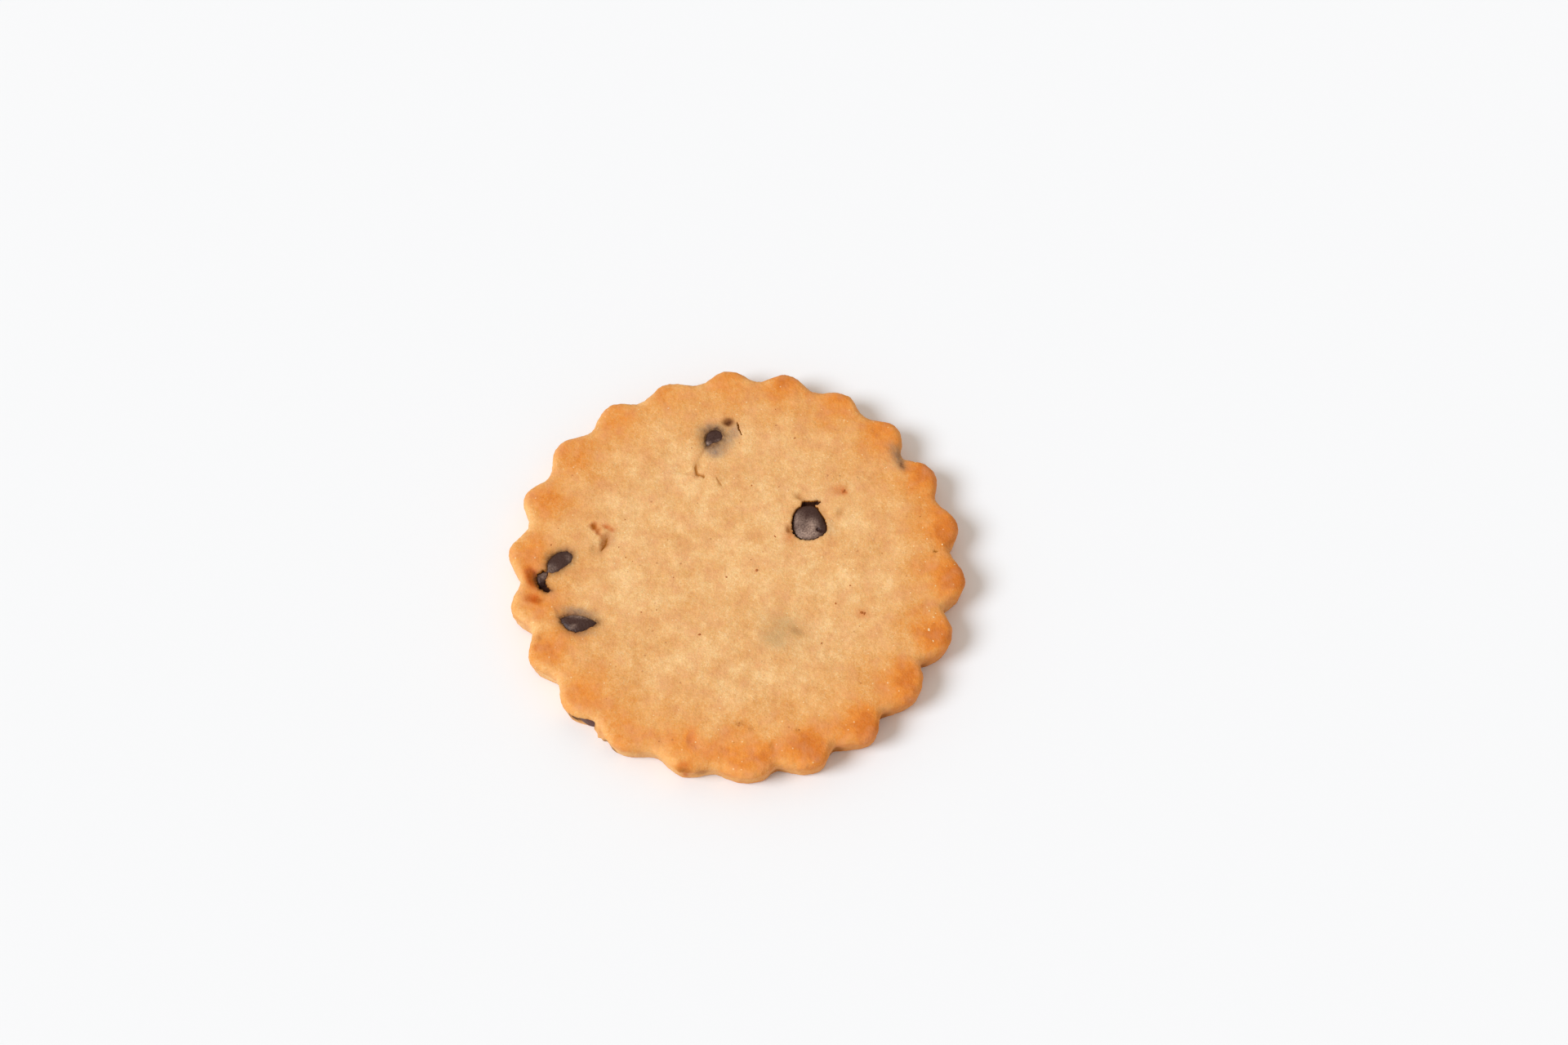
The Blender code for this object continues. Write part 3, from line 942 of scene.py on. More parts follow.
    def snap(self, plan: np.ndarray, loose: np.ndarray) -> np.ndarray:
        """Moves the mesh points beside the hollows' edges onto them, so that the edges come out crisp.

        Args:
            plan: One place in plan to a row.
            loose: How free each point is to move.

        Returns:
            The places after the move.
        """
        plan, probe = plan.copy(), self.snap_probe
        near = np.flatnonzero(self.into_hollow(plan) > -self.snap_margin)
        for _ in range(self.snap_rounds):
            places = plan[near]
            here = self.into_hollow(places)
            slope = np.column_stack(
                [self.into_hollow(places + shift) - here for shift in ((probe, 0.0), (0.0, probe))]
            )
            slope /= probe
            target = np.where(here > 0.0, self.hollow_edge, -self.hollow_edge)
            steep = np.maximum((slope**2).sum(axis=1), self.least_slope)
            step = np.where(np.abs(here) < self.snap_reach, (target - here) / steep, 0.0)
            plan[near] += slope * (step * loose[near])[:, None]
        return plan

    def sink(self, plan: np.ndarray) -> tuple[np.ndarray, np.ndarray, np.ndarray]:
        """How far the top is sunk by its dents, cracks and openings.

        Args:
            plan: One place in plan to a row.

        Returns:
            The depth of the dents, the depth of the cracks and openings, and the smear round the openings,
            with the painted shade on their walls.
        """
        deep = np.zeros(len(plan))
        smear = np.zeros(len(plan))
        hollows = self.hollows(plan)
        for inside, depth in hollows:
            deep = np.maximum(deep, depth * smooth(-self.hollow_edge, self.hollow_edge, inside))
        for (inside, _), opening in zip(hollows, self.openings):
            near = np.exp(-((np.clip(-inside, 0.0, None) / opening.smear_width) ** self.smear_fade))
            share = np.where(inside > 0.0, opening.wall_smear_and_shade, opening.smear * near)
            smear = np.maximum(smear, share)
        return total_depth(self.dents, plan), deep, smear

    def sheet(self) -> tuple[np.ndarray, np.ndarray, np.ndarray]:
        """Lays a square grid on the disc, closer together at its fine spots.

        Returns:
            The places in plan about the cookie's origin, each one's ring, and each one's angle.
        """
        steps = np.linspace(-1.0, 1.0, self.cells + 1)
        u, v = (part.ravel() for part in np.meshgrid(steps, steps))
        ring = np.maximum(np.abs(u), np.abs(v))
        wide = np.abs(u) >= np.abs(v)
        safe_u, safe_v = np.where(u == 0.0, 1.0, u), np.where(v == 0.0, 1.0, v)
        angle = np.where(wide, math.pi / 4.0 * v / safe_u, math.pi / 2.0 - math.pi / 4.0 * u / safe_v)
        angle += np.where(np.where(wide, u, v) < 0.0, math.pi, 0.0) + math.radians(self.mesh_turn_deg)
        radius = ring * (self.rim.plain_radius(angle) - self.top_round)
        radius += ring**self.flute_fade * self.rim.flute_height(angle)
        plan = np.column_stack([radius * np.cos(angle), radius * np.sin(angle)]) - self.rim.middle()
        loose = 1.0 - ring**self.rim_hold
        for middle, reach, pull in self.fine_spots:
            away = plan - np.array(middle)
            near = np.clip(1.0 - ((away**2).sum(axis=1) / reach**2) ** 2, 0.0, None) ** 2
            plan = plan - away * (pull * near * loose)[:, None]
        return self.snap(plan, np.clip(self.snap_freedom * loose, 0.0, 1.0)), ring, angle

    def edge_steps(self) -> list[tuple[float, float, float, float]]:
        """Steps of the edge's section, from the rounded top edge down to the underside.

        Returns:
            For each step its inset, its height, and the outward and upward parts of its direction. The
            height is counted from the top of the rim while the direction points up, else from 0.
        """
        steps = []
        for k in range(1, self.top_round_steps + 1):
            turn = math.pi / 2.0 * k / self.top_round_steps
            inset, drop = self.top_round * (1.0 - math.sin(turn)), self.top_round * (1.0 - math.cos(turn))
            steps.append((inset, -drop, math.sin(turn), math.cos(turn) + self.least_upward))
        wall_top = self.thickness - self.shoulder_drop - self.top_round
        for k in range(1, self.wall_steps + 1):
            share = k / self.wall_steps
            steps.append((self.undercut * share, wall_top + (self.bottom_round - wall_top) * share, 1.0, 0.0))
        for k in range(1, self.bottom_round_steps + 1):
            turn = math.pi / 2.0 * k / self.bottom_round_steps
            inset = self.undercut + self.bottom_round * (1.0 - math.cos(turn))
            height = self.bottom_round * (1.0 - math.sin(turn))
            steps.append((inset, height, math.cos(turn), -math.sin(turn)))
        return steps

    def edge_ring(
        self, angle: np.ndarray, top: np.ndarray, step: tuple[float, ...]
    ) -> tuple[np.ndarray, np.ndarray, np.ndarray]:
        """One ring of points round the edge.

        Args:
            angle: The angles of its points.
            top: The height of the top where the rounded edge starts, for each angle.
            step: The step of the edge's section.

        Returns:
            The ring's places, how deep each lies in a hollow, and the smear at each.
        """
        inset, height, outward, upward = step
        way = np.column_stack([np.cos(angle), np.sin(angle)])
        level = top + height if upward > 0.0 else np.full(len(angle), height)
        lump = outward * self.wall_lump.at(np.column_stack([self.rim.points(angle), level]))
        plan = self.rim.points(angle, inset + lump) - self.rim.middle()
        crumb = 1.0 + (self.wall_crumb - 1.0) * outward
        relief = crumb * self.relief(np.column_stack([plan, level]))
        window = sum(spot.share(angle, level) for spot in self.wall_windows)
        bulge = sum(spot.share(angle, level) for spot in self.wall_bulges)
        out = outward * relief - self.wall_window_depth * window + self.wall_bulge_height * bulge
        plan = plan + way * out[:, None]
        level = level + max(upward, 0.0) * relief
        dents, deep, smear = self.sink(plan)
        if upward > 0.0:
            return np.column_stack([plan, level - dents * upward - deep]), deep, smear
        return np.column_stack([plan, level]), self.wall_window_depth * window, self.window_smear * window

    def browning(self, places: np.ndarray) -> np.ndarray:
        """How far the oven browned the dough, with painted light and shade at the rim's edge and in some
        zones.

        Args:
            places: One place to a row.

        Returns:
            From 0 to about 1 for each place.
        """
        angle, radius = self.rim.polar(places[:, :2])
        share = radius / self.rim.plain_radius(angle)
        flutes = self.rim.flute_height(angle)
        near = np.clip((share - self.toasting_start) / (self.toasting_end - self.toasting_start), 0.0, 1.0)
        near = near**self.toasting_curve
        crest = self.crest_toasting * flutes / self.rim.swing
        edge = smooth(self.edge_painted_light_start, 1.0, share) * self.edge_painted_light.at(angle)
        to_edge = share - flutes / self.rim.mean_radius
        edge -= self.edge_paleness * smooth(self.edge_paleness_start, 1.0, to_edge)
        height = places[:, 2]
        wall = self.wall_paleness * (smooth(*self.pale_below, height) - smooth(*self.pale_above, height))
        toasting = near * (self.rim_toasting + self.front_toasting.at(angle) + crest)
        return self.plain_toasting + toasting + edge + total_depth(self.toasting_and_painted_light_zones, places[:, :2]) - wall

    def fields(self, places: np.ndarray, smear: np.ndarray, deep: np.ndarray) -> dict[str, np.ndarray]:
        """The attributes that tell the material what coloured the dough where.

        Args:
            places: One place to a row.
            smear: The chocolate smeared round the openings, with the painted shade on their walls, for each
                place.
            deep: How deep each place lies in a crack or hollow.

        Returns:
            Each attribute's values, by its name.
        """
        plan, height = places[:, :2], places[:, 2]
        angle, radius = self.rim.polar(plan)
        wandered = plan + np.column_stack([bumps.at(flat(plan)) for bumps in self.wander])
        on_top = smooth(*self.top_stains, height + deep)
        on_wall = smooth(*self.wall_stains, height) * (radius > self.wall_start * self.rim.mean_radius)
        covers = [
            (patch.tint, on_top * spot.depth * spot.share(wandered))
            for patch in self.patches
            for spot in patch.spots
        ]
        for patch in self.wall_patches:
            covers.append((patch.tint, on_wall * patch.amount * patch.spot.share(angle, height)))
        amounts = {tint.value: np.zeros(len(places)) for tint in Tint} | {Tint.CHOCOLATE.value: smear}
        for tint, share in covers:
            amounts[tint.value] = 1.0 - (1.0 - amounts[tint.value]) * (1.0 - share)
        # Bare cracks and holes get painted shade by their depth; chocolate over them takes its place
        bare = 1.0 - smooth(*self.smear_over_cut, amounts[Tint.CHOCOLATE.value])
        return amounts | {"browning": self.browning(places), "cut_depth": bare * deep}

    def edge_map(self, count: int, ring_count: int) -> np.ndarray:
        """Lays the edge flat in strips.

        Args:
            count: The number of points round the rim.
            ring_count: The number of rings down the edge.

        Returns:
            A place on the map for each corner of each face.
        """
        run = math.ceil(count / self.layout.strips)
        row, along = np.arange(count) // run, np.arange(count) % run
        span = 1.0 - 2.0 * self.layout.margin
        left, right = (self.layout.margin + span * (along + end) / run for end in (0, 1))
        base = self.layout.first_strip + self.layout.strip_pitch * row
        parts = []
        for k in range(ring_count):
            high, low = (base - self.layout.strip_height * (k + end) / ring_count for end in (0, 1))
            corners = ((left, low), (right, low), (right, high), (left, high))
            parts.append(np.stack([np.column_stack(pair) for pair in corners], axis=1).reshape(-1, 2))
        return np.vstack(parts)

    def build(self) -> bpy.types.Object:
        """Makes the biscuit's mesh, with its flat map and its attributes, and dresses it.

        Returns:
            The biscuit.
        """
        plan, ring, angle = self.sheet()
        height = self.top_height(plan, ring)
        height += self.relief(np.column_stack([plan, height]))
        dents, deep, smear = self.sink(plan)
        top = np.column_stack([plan, height - dents - deep])

        side, corner = self.cells + 1, np.arange(self.cells)
        border = np.concatenate(
            [corner, corner * side + self.cells, side * side - 1 - corner, (self.cells - corner) * side]
        )
        count = len(border)
        round_angle = angle[border]
        edge_start = self.rim.points(round_angle, self.top_round) - self.rim.middle()
        edge_top = self.top_height(edge_start, np.ones(count))
        rings = [self.edge_ring(round_angle, edge_top, step) for step in self.edge_steps()]
        floor = rings[-1][0] * (self.floor_share, self.floor_share, 1.0)
        places = np.vstack([top, *[places for places, _, _ in rings], floor, np.zeros((1, 3))])
        pad = np.zeros(count + 1)
        deep = np.concatenate([deep, *[part for _, part, _ in rings], pad])
        smear = np.concatenate([smear, *[part for _, _, part in rings], pad])

        first = (np.arange(self.cells)[:, None] * side + np.arange(self.cells)).ravel()
        top_faces = np.column_stack([first, first + 1, first + side + 1, first + side])
        loops = [border] + [side * side + k * count + np.arange(count) for k in range(len(rings) + 1)]
        wall_faces = np.vstack(
            [
                np.column_stack([low, np.roll(low, -1), np.roll(high, -1), high])
                for high, low in zip(loops[:-2], loops[1:-1])
            ]
        )
        outer, inner = loops[-2], loops[-1]
        under = np.column_stack([np.roll(outer, -1), outer, inner, np.roll(inner, -1)])
        fan = np.column_stack([np.roll(inner, -1), inner, np.full(count, len(places) - 1)])
        faces = [face for part in (top_faces, wall_faces, under, fan) for face in part.tolist()]

        share = places[:, :2] / self.rim.mean_radius
        on_top = self.layout.top + self.layout.top_reach * share
        below = self.layout.under + self.layout.under_reach * share * (1.0, -1.0)
        map_parts = [on_top[top_faces], self.edge_map(count, len(rings)), below[under], below[fan]]
        corners = np.vstack([part.reshape(-1, 2) for part in map_parts])

        mesh = bpy.data.meshes.new("baked_biscuit")
        mesh.from_pydata((places * MM).tolist(), [], faces)
        mesh.shade_smooth()
        mesh.uv_layers.new(name=BAKE_MAP).uv.foreach_set("vector", corners.astype(np.float32).ravel())
        for key, values in self.fields(places, smear, deep).items():
            attribute = mesh.attributes.new(key, "FLOAT", "POINT")
            attribute.data.foreach_set("value", values.astype(np.float32))
        item = add_piece(mesh, self.finish.material())
        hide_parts("biscuit")
        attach(item, "root")
        log.info("baked biscuit: %d points, %d faces", len(places), len(faces))
        return item


@dataclass
class ChocolateDrop:
    """One chocolate drop: squat, its top filling the outline that shows, with soft dents, bloom, and painted
    highlights and shade.
    """

    node: str
    middle: tuple[float, float, float]
    size: tuple[float, float, float]
    turn_deg: float
    # Outline of the top, where it isn't the drop's own ellipse, and how far it goes under the dough
    outline: tuple[Place, ...] | None = None
    tuck: float = 0.15
    bloom_and_painted_light: tuple[Dent, ...] = ()
    pits: tuple[Dent, ...] = ()
    base_bloom: float = 0.05
    # Whether it shows through a dusting of flour
    floury: bool = False
    sides: int = 96
    rings: int = 64
    roundness: float = 0.5
    narrowing: float = 0.05
    crown_start: float = 0.3
    crown_end: float = 0.7
    dent: float = 0.05
    dent_spacing: float = 0.9
    least_spread: float = 1e-9
    fine_dents: Bumps = Bumps(0.05, 0.7, 4.4)

    def body_reach(self, angle: np.ndarray) -> np.ndarray:
        """Distance from the middle to the drop's own ellipse, at angles round it."""
        turned = angle - math.radians(self.turn_deg)
        return 1.0 / np.hypot(np.cos(turned) * 2.0 / self.size[0], np.sin(turned) * 2.0 / self.size[1])

    def crown_reach(self, angle: np.ndarray) -> np.ndarray:
        """Distance from the middle to the outline of the top.

        Args:
            angle: Angles round the middle.

        Returns:
            The distance for each angle.
        """
        if self.outline is None:
            return self.body_reach(angle)
        middle = np.array(self.middle[:2])
        way = np.column_stack([np.cos(angle), np.sin(angle)])
        reach = np.zeros(len(angle))
        for start, end in zip(self.outline, (*self.outline[1:], self.outline[0])):
            run, away = np.subtract(end, start), np.array(start) - middle
            cross = way[:, 0] * run[1] - way[:, 1] * run[0]
            cross = np.where(np.abs(cross) < self.least_spread, self.least_spread, cross)
            share = (way[:, 1] * away[0] - way[:, 0] * away[1]) / cross
            distance = (away[0] * run[1] - away[1] * run[0]) / cross
            hit = (share >= 0.0) & (share <= 1.0) & (distance > 0.0)
            reach = np.where(hit, np.maximum(reach, distance), reach)
        return reach + self.tuck

    def build(self, material: bpy.types.Material) -> bpy.types.Object:
        """Makes the drop's mesh and dresses it.

        Args:
            material: The chocolate's material.

        Returns:
            The drop.
        """
        bm = bmesh.new()
        bmesh.ops.create_uvsphere(bm, u_segments=self.sides, v_segments=self.rings, radius=1.0)
        middle, half_height = Vector(self.middle), self.size[2] / 2.0
        ways = np.array([vert.co.normalized() for vert in bm.verts])
        angle = np.arctan2(ways[:, 1], ways[:, 0])
        level = np.sign(ways[:, 2]) * np.abs(ways[:, 2]) ** self.roundness
        crown = smooth(self.crown_start, self.crown_end, level)
        reach = (1.0 - crown) * self.body_reach(angle) + crown * self.crown_reach(angle)
        spread = np.hypot(ways[:, 0], ways[:, 1]) ** self.roundness
        out = spread * (1.0 - self.narrowing * level) * reach
        shapes = np.column_stack([out * np.cos(angle), out * np.sin(angle), half_height * level])
        for vert, way, shape in zip(bm.verts, ways.tolist(), shapes.tolist()):
            dent = 1.0 + self.dent * noise.noise(Vector(way) / self.dent_spacing + middle)
            vert.co = middle + Vector(shape) * dent
        places = np.array([vert.co for vert in bm.verts])
        plan = places[:, :2]
        upper = smooth(middle.z, middle.z + half_height, places[:, 2])
        uneven = self.fine_dents.at(places) - total_depth(self.pits, plan)
        for vert, height in zip(bm.verts, places[:, 2] + uneven * upper):
            vert.co.z = height
        bmesh.ops.transform(bm, verts=bm.verts, matrix=Matrix.Scale(MM, 4))
        mesh = finished_mesh(self.node + "_drop", bm)
        mesh.shade_smooth()
        bloom_and_painted_light = (self.base_bloom + total_depth(self.bloom_and_painted_light, plan)).astype(np.float32)
        mesh.attributes.new("bloom_and_painted_light", "FLOAT", "POINT").data.foreach_set("value", bloom_and_painted_light)
        item = add_piece(mesh, material)
        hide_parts(self.node)
        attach(item, "root")
        log.info("%s: %d faces", item.name, len(mesh.polygons))
        return item


@dataclass(frozen=True)
class Sprinkling:
    """Small grains that lie half sunk in the top: some where the photo has them, others at random."""

    name: str
    # Middle, length and width of each grain that has its own place
    placed: tuple[tuple[float, float, float, float], ...]
    random_count: int
    random_sizes: Place
    thickness: float
    raised: float
    seed: int
    reach: float = 27.0
    slimness: Place = (0.6, 1.0)
    tilt: float = 0.25
    lumpiness: float = 0.3
    lump_share: float = 0.4
    clearance: float = 0.5

    def grains(self) -> list[tuple[float, float, float, float]]:
        """Draws the random grains, spread evenly over the top.

        Returns:
            Middle, length and width of every grain.
        """
        chance = np.random.default_rng(self.seed)
        radius = self.reach * np.sqrt(chance.random(self.random_count))
        angle = math.tau * chance.random(self.random_count)
        length = chance.uniform(*self.random_sizes, self.random_count)
        width = length * chance.uniform(*self.slimness, self.random_count)
        spread = zip(radius * np.cos(angle), radius * np.sin(angle), length, width)
        return [*self.placed, *spread]

    def is_clear(self, biscuit: Biscuit, grain: tuple[float, ...]) -> bool:
        """Whether a grain lies clear of the openings and cracks."""
        return biscuit.into_hollow(np.array([grain[:2]]))[0] < -grain[2] / 2.0 - self.clearance

    def build(self, biscuit: Biscuit, material: bpy.types.Material) -> bpy.types.Object:
        """Makes the grains as one piece.

        Args:
            biscuit: The biscuit that they lie in.
            material: What they are made of.

        Returns:
            The piece.
        """
        chance = np.random.default_rng(self.seed + 1)
        grains = [grain for grain in self.grains() if self.is_clear(biscuit, grain)]
        heights = biscuit.height_at(np.array([grain[:2] for grain in grains]))
        bm = bmesh.new()
        for (x, y, length, width), z in zip(grains, heights):
            thick = self.thickness * width
            turn = Euler((*chance.normal(0.0, self.tilt, 2), chance.uniform(0.0, math.pi)))
            place = Vector((x, y, z + (self.raised - 0.5) * thick)) * MM
            matrix = Matrix.LocRotScale(place, turn, Vector((length, width, thick)) * MM)
            made = bmesh.ops.create_icosphere(bm, subdivisions=2, radius=0.5, matrix=matrix)["verts"]
            for vert in made:
                away = vert.co - place
                spot = away / (self.lump_share * length * MM) + place / MM
                vert.co = place + away * (1.0 + self.lumpiness * noise.noise(spot))
        item = add_piece(finished_mesh(self.name, bm), material)
        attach(item, "root")
        log.info("%s: %d grains, %d faces", self.name, len(grains), len(item.data.polygons))
        return item


@dataclass(frozen=True)
class Studio:
    """The pale table, the soft light from the left and the camera that looks down on the cookie."""

    elevation_deg: float = 62.547
    distance: float = 350.73
    aim: tuple[float, float, float] = (6.25, 8.47, 0.0)
    lens: float = 60.0
    sensor: float = 36.0
    table_size: float = 4000.0
    table_drop: float = 0.02
    table_colour: str = "f0f1f2"
    table_roughness: float = 0.9
    table_gloss: float = 0.2
    # The room's light is a little warm and the window's a little cool, so the shade comes out warm
    sky_colour: str = "fff6ec"
    sky_strength: float = 0.62
    key_way: tuple[float, float, float] = (-4.2, -1.5, 4.3)
    # As wide as a window a few steps away, so that its shadow is soft
    key_spread_deg: float = 29.0
    key_strength: float = 2.54
    key_colour: str = "ecf5ff"

    def build(self) -> None:
        """Makes the table, the lights and the camera."""
        scene = bpy.context.scene
        scene.view_settings.view_transform = "Standard"
        scene.world = bpy.data.worlds.new("pale_room")
        scene.world.use_nodes = True
        background = scene.world.node_tree.nodes["Background"]
        wire(background, {"Color": linear(self.sky_colour), "Strength": self.sky_strength})

        # A matt white board: the eye sees a plain pale surface and a soft shadow on it
        material, _, shader = new_material("matt_table")
        looks = {
            "Base Color": linear(self.table_colour),
            "Roughness": self.table_roughness,
            "Specular IOR Level": self.table_gloss,
        }
        wire(shader, looks)
        bm = bmesh.new()
        bmesh.ops.create_grid(bm, x_segments=1, y_segments=1, size=self.table_size / 2.0 * MM)
        table = add_piece(finished_mesh("table", bm), material)
        table.location.z = -self.table_drop * MM

        light = bpy.data.lights.new("key", "SUN")
        light.angle = math.radians(self.key_spread_deg)
        light.energy = self.key_strength
        light.color = linear(self.key_colour)[:3]
        key = bpy.data.objects.new("key", light)
        key.rotation_euler = Vector(self.key_way).normalized().to_track_quat("Z", "Y").to_euler()
        scene.collection.objects.link(key)

        camera = bpy.data.cameras.new("camera")
        camera.lens, camera.sensor_width = self.lens, self.sensor
        eye = bpy.data.objects.new("camera", camera)
        elevation = math.radians(self.elevation_deg)
        back = Vector((0.0, -math.cos(elevation), math.sin(elevation)))
        eye.location = (Vector(self.aim) + back * self.distance) * MM
        eye.rotation_euler = (math.pi / 2.0 - elevation, 0.0, 0.0)
        scene.collection.objects.link(eye)
        scene.camera = eye
        log.info("studio: table, key light, sky and camera")


# What shows of the drops, in plan
CENTRE_DROP = (
    (7.5, 5.6), (7.5, 6.5), (7.65, 7.45), (8.05, 8.2), (8.7, 8.7), (9.4, 8.85), (10.2, 8.75),
    (10.75, 8.35), (11.1, 7.5), (11.6, 6.4), (11.95, 5.5), (11.9, 4.8), (11.35, 4.1), (10.5, 3.7),
    (9.6, 3.5), (8.6, 3.57), (7.95, 4.0), (7.6, 4.8),
)
BACK_SHOWS = (
    (-4.35, 17.95), (-4.35, 18.8), (-4.1, 19.6), (-3.5, 20.1), (-2.8, 20.15), (-2.2, 19.75), (-1.95, 19.1),
    (-2.15, 18.6), (-2.7, 18.2), (-3.3, 18.05), (-3.75, 17.75), (-4.1, 17.55),
)
LEFT_SHOWS = (
    (-24.8, -0.95), (-24.85, -0.2), (-24.5, 0.6), (-23.9, 1.3), (-23.1, 1.75), (-22.3, 1.8), (-21.6, 1.45),
    (-21.45, 0.85), (-21.8, 0.1), (-22.5, -0.55), (-23.3, -1.2), (-24.0, -1.5), (-24.5, -1.35),
)
CRESCENT = (
    (-26.0, -1.35), (-25.6, -1.35), (-25.3, -1.05), (-24.6, -1.0), (-24.65, -1.8), (-25.0, -2.5),
    (-24.8, -3.2), (-24.1, -4.0), (-24.7, -4.25), (-25.5, -3.8), (-26.0, -3.0), (-26.2, -2.1),
)
FRONT_SHOWS = (
    (-22.85, -7.95), (-22.3, -7.6), (-21.4, -7.5), (-20.3, -7.6), (-19.3, -7.85), (-18.4, -8.15),
    (-17.9, -8.55), (-18.3, -9.0), (-19.0, -9.45), (-19.8, -9.8), (-20.7, -9.95), (-21.5, -9.75),
    (-22.2, -9.2), (-22.7, -8.6),
)
OPENINGS = (
    # Round the drop in the middle, with the gap behind it
    Opening(
        (
            (7.3, 5.5), (7.35, 6.5), (7.5, 7.4), (7.95, 8.05), (8.55, 8.55), (8.7, 9.05), (8.95, 9.3),
            (9.4, 9.25), (10.0, 9.2), (10.6, 9.4), (11.1, 9.1), (10.85, 8.75), (10.4, 8.6), (10.75, 8.15),
            (11.1, 7.5), (11.6, 6.5), (11.95, 5.5), (11.9, 4.75), (11.3, 4.1), (10.4, 3.65), (9.3, 3.45),
            (8.4, 3.6), (7.8, 4.0), (7.4, 4.7),
        ),
        0.9, 0.2, 0.4, 0.0,
    ),
    Opening(BACK_SHOWS, 0.28, 0.6, 0.8, 0.65),
    Opening(LEFT_SHOWS, 0.28, 0.5, 0.75, 0.65),
    # The crescent over the drop beside the rim
    Opening(CRESCENT, 0.9, 0.35, 0.7, 0.0),
    Opening(FRONT_SHOWS, 0.3, 0.5, 0.7, 0.65),
    # The slit over the drop at the far right
    Opening(
        ((21.8, 15.0), (22.0, 15.05), (22.2, 14.75), (22.32, 14.3), (22.15, 14.25), (21.95, 14.6)),
        0.16, 0.4, 0.3, 0.5,
    ),
)


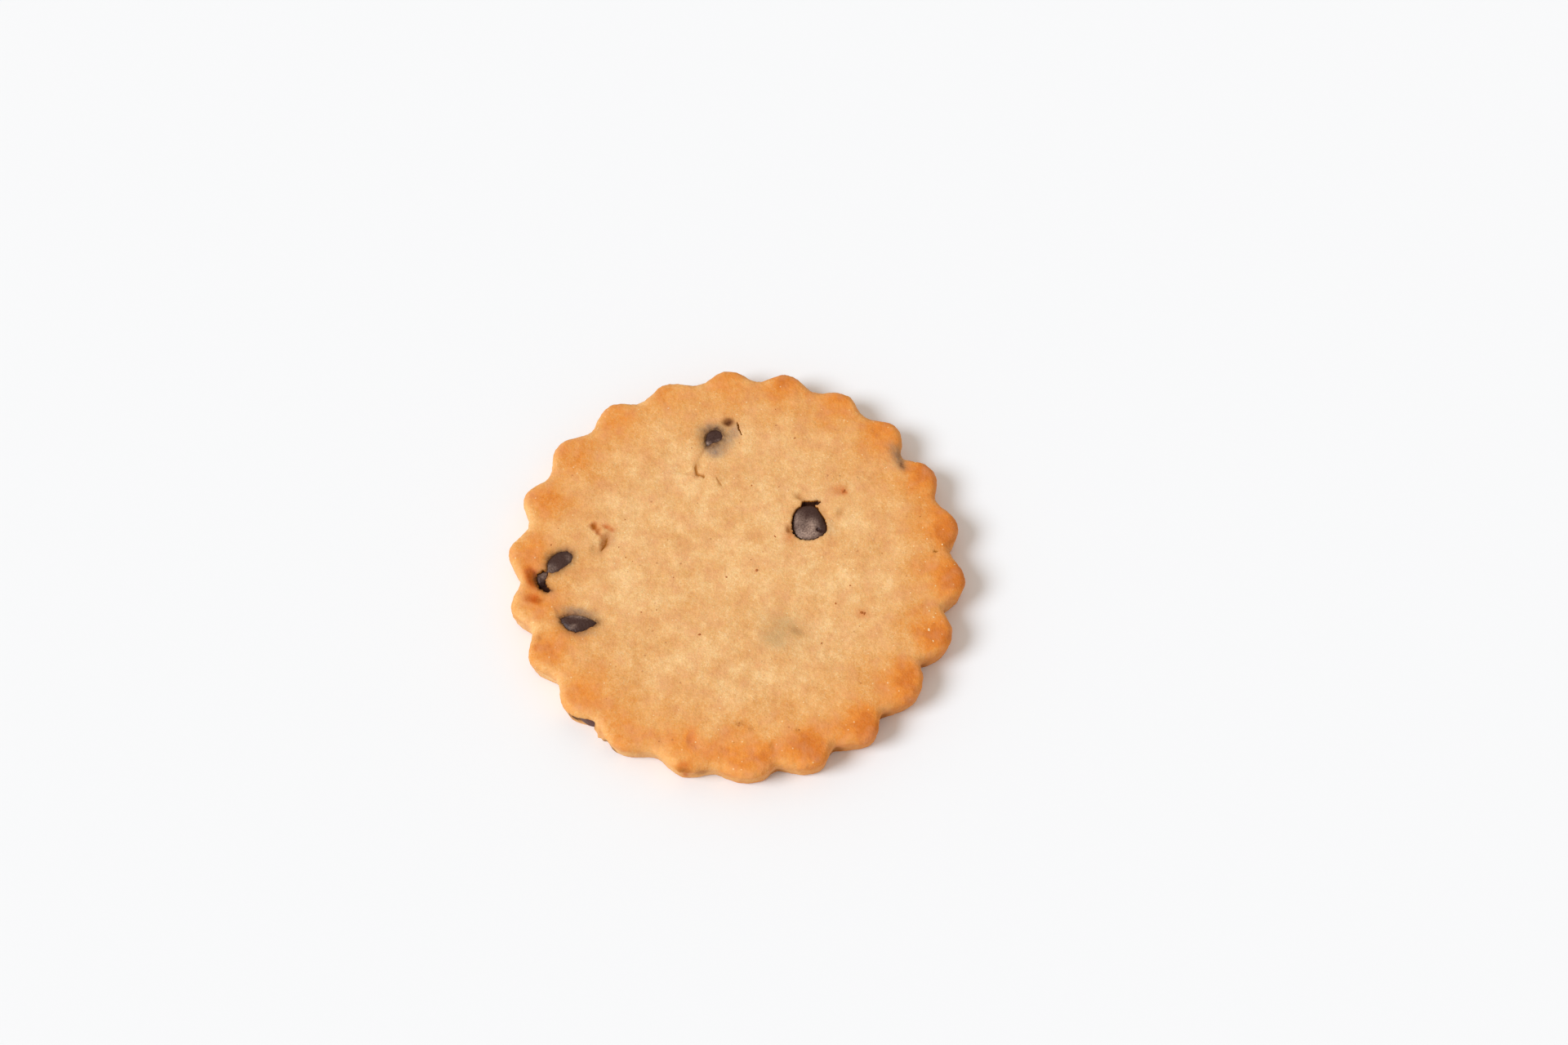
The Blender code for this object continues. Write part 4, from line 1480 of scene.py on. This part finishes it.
@dataclass
class Cookie:
    """The whole cookie: the biscuit, its seven drops, and the flecks and crystals in its top."""

    drops: tuple[ChocolateDrop, ...] = (
        ChocolateDrop(
            "chip_centre", (9.6, 6.1, 3.4), (4.7, 4.8, 3.0), 0.0, CENTRE_DROP, 0.15,
            bloom_and_painted_light=soft_spots(
                (9.9, 5.5, 1.7, 2.0, 0.75), (8.3, 5.8, 1.4, 3.2, 0.4), (9.2, 4.2, 3.4, 1.4, 0.65),
                # The rows with a negative depth darken the drop in its two pits: painted shade
                (7.8, 6.6, 0.6, 1.8, 0.3, -10.0), (10.7, 4.95, 0.45, 0.55, -1.0, 20.0),
                (11.2, 4.7, 0.5, 0.3, -0.6, 30.0),
            ),
            pits=soft_spots(
                (10.7, 5.0, 0.4, 0.5, 0.25, 20.0), (11.2, 4.75, 0.5, 0.3, 0.12, 30.0),
                (8.2, 4.7, 0.4, 0.9, 0.12, 20.0), (11.6, 6.2, 0.8, 2.4, 0.12),
            ),
        ),
        ChocolateDrop(
            "chip_back", (-2.6, 18.8, 3.25), (4.5, 4.4, 3.0), 125.0, BACK_SHOWS, 0.35,
            # The first spot is a painted highlight; the second is bloom
            bloom_and_painted_light=soft_spots((-4.0, 18.0, 0.9, 0.7, 0.5), (-2.3, 18.3, 1.4, 0.8, 0.25)),
        ),
        ChocolateDrop(
            "chip_left", (-23.15, 0.3, 3.45), (4.3, 2.9, 2.8), 42.0, LEFT_SHOWS, 0.35,
            bloom_and_painted_light=soft_spots((-24.3, -0.8, 1.6, 1.2, 0.3), (-21.9, 0.6, 0.8, 1.6, 0.2, 30.0)),
        ),
        ChocolateDrop(
            "chip_left_rim", (-25.4, -2.5, 3.2), (4.0, 2.2, 2.9), -52.0, CRESCENT, 0.1,
            # The second spot takes the bloom off the front of the drop, which lies in deep shade: painted
            # shade
            bloom_and_painted_light=soft_spots((-25.05, -1.6, 1.4, 1.5, 0.35), (-24.9, -3.6, 2.4, 1.6, -0.3)),
            pits=soft_spots((-25.0, -4.1, 2.4, 2.6, 1.2), (-26.5, -2.4, 0.9, 2.4, 0.8, 20.0)),
        ),
        ChocolateDrop(
            "chip_left_front", (-20.5, -8.7, 3.4), (5.2, 3.0, 2.9), -8.0, FRONT_SHOWS, 0.3,
            # The first spot is a painted highlight; the second is bloom
            bloom_and_painted_light=soft_spots((-21.1, -9.2, 1.1, 0.6, 0.4, 25.0), (-20.4, -7.75, 3.6, 0.6, 0.4, -8.0)),
        ),
        ChocolateDrop(
            "chip_front_rim", (-18.45, -19.95, 2.6), (4.8, 3.4, 2.6), -42.0, base_bloom=0.1, floury=True
        ),
        ChocolateDrop(
            "chip_right_rim", (20.7, 15.6, 3.05), (3.6, 2.5, 2.8), -53.0, base_bloom=1.0, floury=True
        ),
    )
    flecks: Sprinkling = Sprinkling(
        "chipotle_flecks",
        (
            (2.6, -1.1, 0.5, 0.42), (-1.3, -2.1, 0.35, 0.3), (16.4, -7.15, 0.7, 0.5),
            (16.75, -7.35, 0.5, 0.4), (-4.7, -10.3, 0.5, 0.4), (13.0, -5.9, 0.35, 0.3),
            (14.9, -3.3, 0.3, 0.25), (-12.3, -7.2, 0.3, 0.22), (-8.2, -2.1, 0.25, 0.2),
            (-10.3, -6.9, 0.3, 0.2), (11.0, -11.6, 0.4, 0.25), (14.25, 10.6, 0.75, 0.4),
            (5.1, 3.9, 0.4, 0.3), (-14.8, 6.4, 0.25, 0.2), (-15.5, 2.3, 0.25, 0.2),
            (-14.5, 0.8, 0.25, 0.2), (1.9, 11.5, 0.3, 0.25), (-6.1, 17.2, 0.25, 0.2),
            (7.7, 18.7, 0.4, 0.3), (5.6, 11.3, 0.25, 0.2), (-24.4, 2.6, 0.35, 0.25),
            (8.2, -23.6, 0.3, 0.25), (0.5, -22.8, 0.4, 0.2),
        ),
        18, (0.14, 0.24), 0.35, 0.25, 7,
    )
    crystals: Sprinkling = Sprinkling(
        "sugar_crystals",
        (
            (25.05, -9.5, 0.75, 0.5), (25.5, -11.2, 0.5, 0.35), (8.0, -9.2, 0.25, 0.2),
            (24.0, -1.1, 0.35, 0.25), (24.8, 0.2, 0.3, 0.2), (26.0, -3.4, 0.35, 0.25),
            (27.1, 2.8, 0.3, 0.25), (27.5, -0.4, 0.25, 0.2), (25.7, -7.8, 0.4, 0.3),
            (22.8, -4.4, 0.4, 0.25), (20.9, -0.9, 0.3, 0.2), (25.1, -6.9, 0.25, 0.2),
            (24.3, 1.6, 0.25, 0.2), (25.4, -1.9, 0.25, 0.2), (24.6, -2.6, 0.3, 0.2),
            (23.3, 1.3, 0.25, 0.15),
        ),
        30, (0.12, 0.2), 0.7, 0.1, 23,
    )

    def build(self) -> None:
        """Makes every piece of the cookie."""
        biscuit = Biscuit(OPENINGS)
        biscuit.build()
        chocolate = DarkChocolate().material()
        # Where flour clings to a drop the eye sees a dull, lighter brown
        floury = DarkChocolate("floury_chocolate", dark="40201c", brown="5a302a", bloom_and_painted_light="96684a").material()
        for drop in self.drops:
            drop.build(floury if drop.floury else chocolate)
        self.flecks.build(biscuit, SMOKED_CHILLI.material())
        self.crystals.build(biscuit, CANE_SUGAR.material())


def main() -> None:
    """Builds the cookie and its studio round the frame."""
    logging.basicConfig(level=logging.INFO, format="%(message)s")
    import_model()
    Studio().build()
    Cookie().build()


if __name__ == "__main__":
    main()
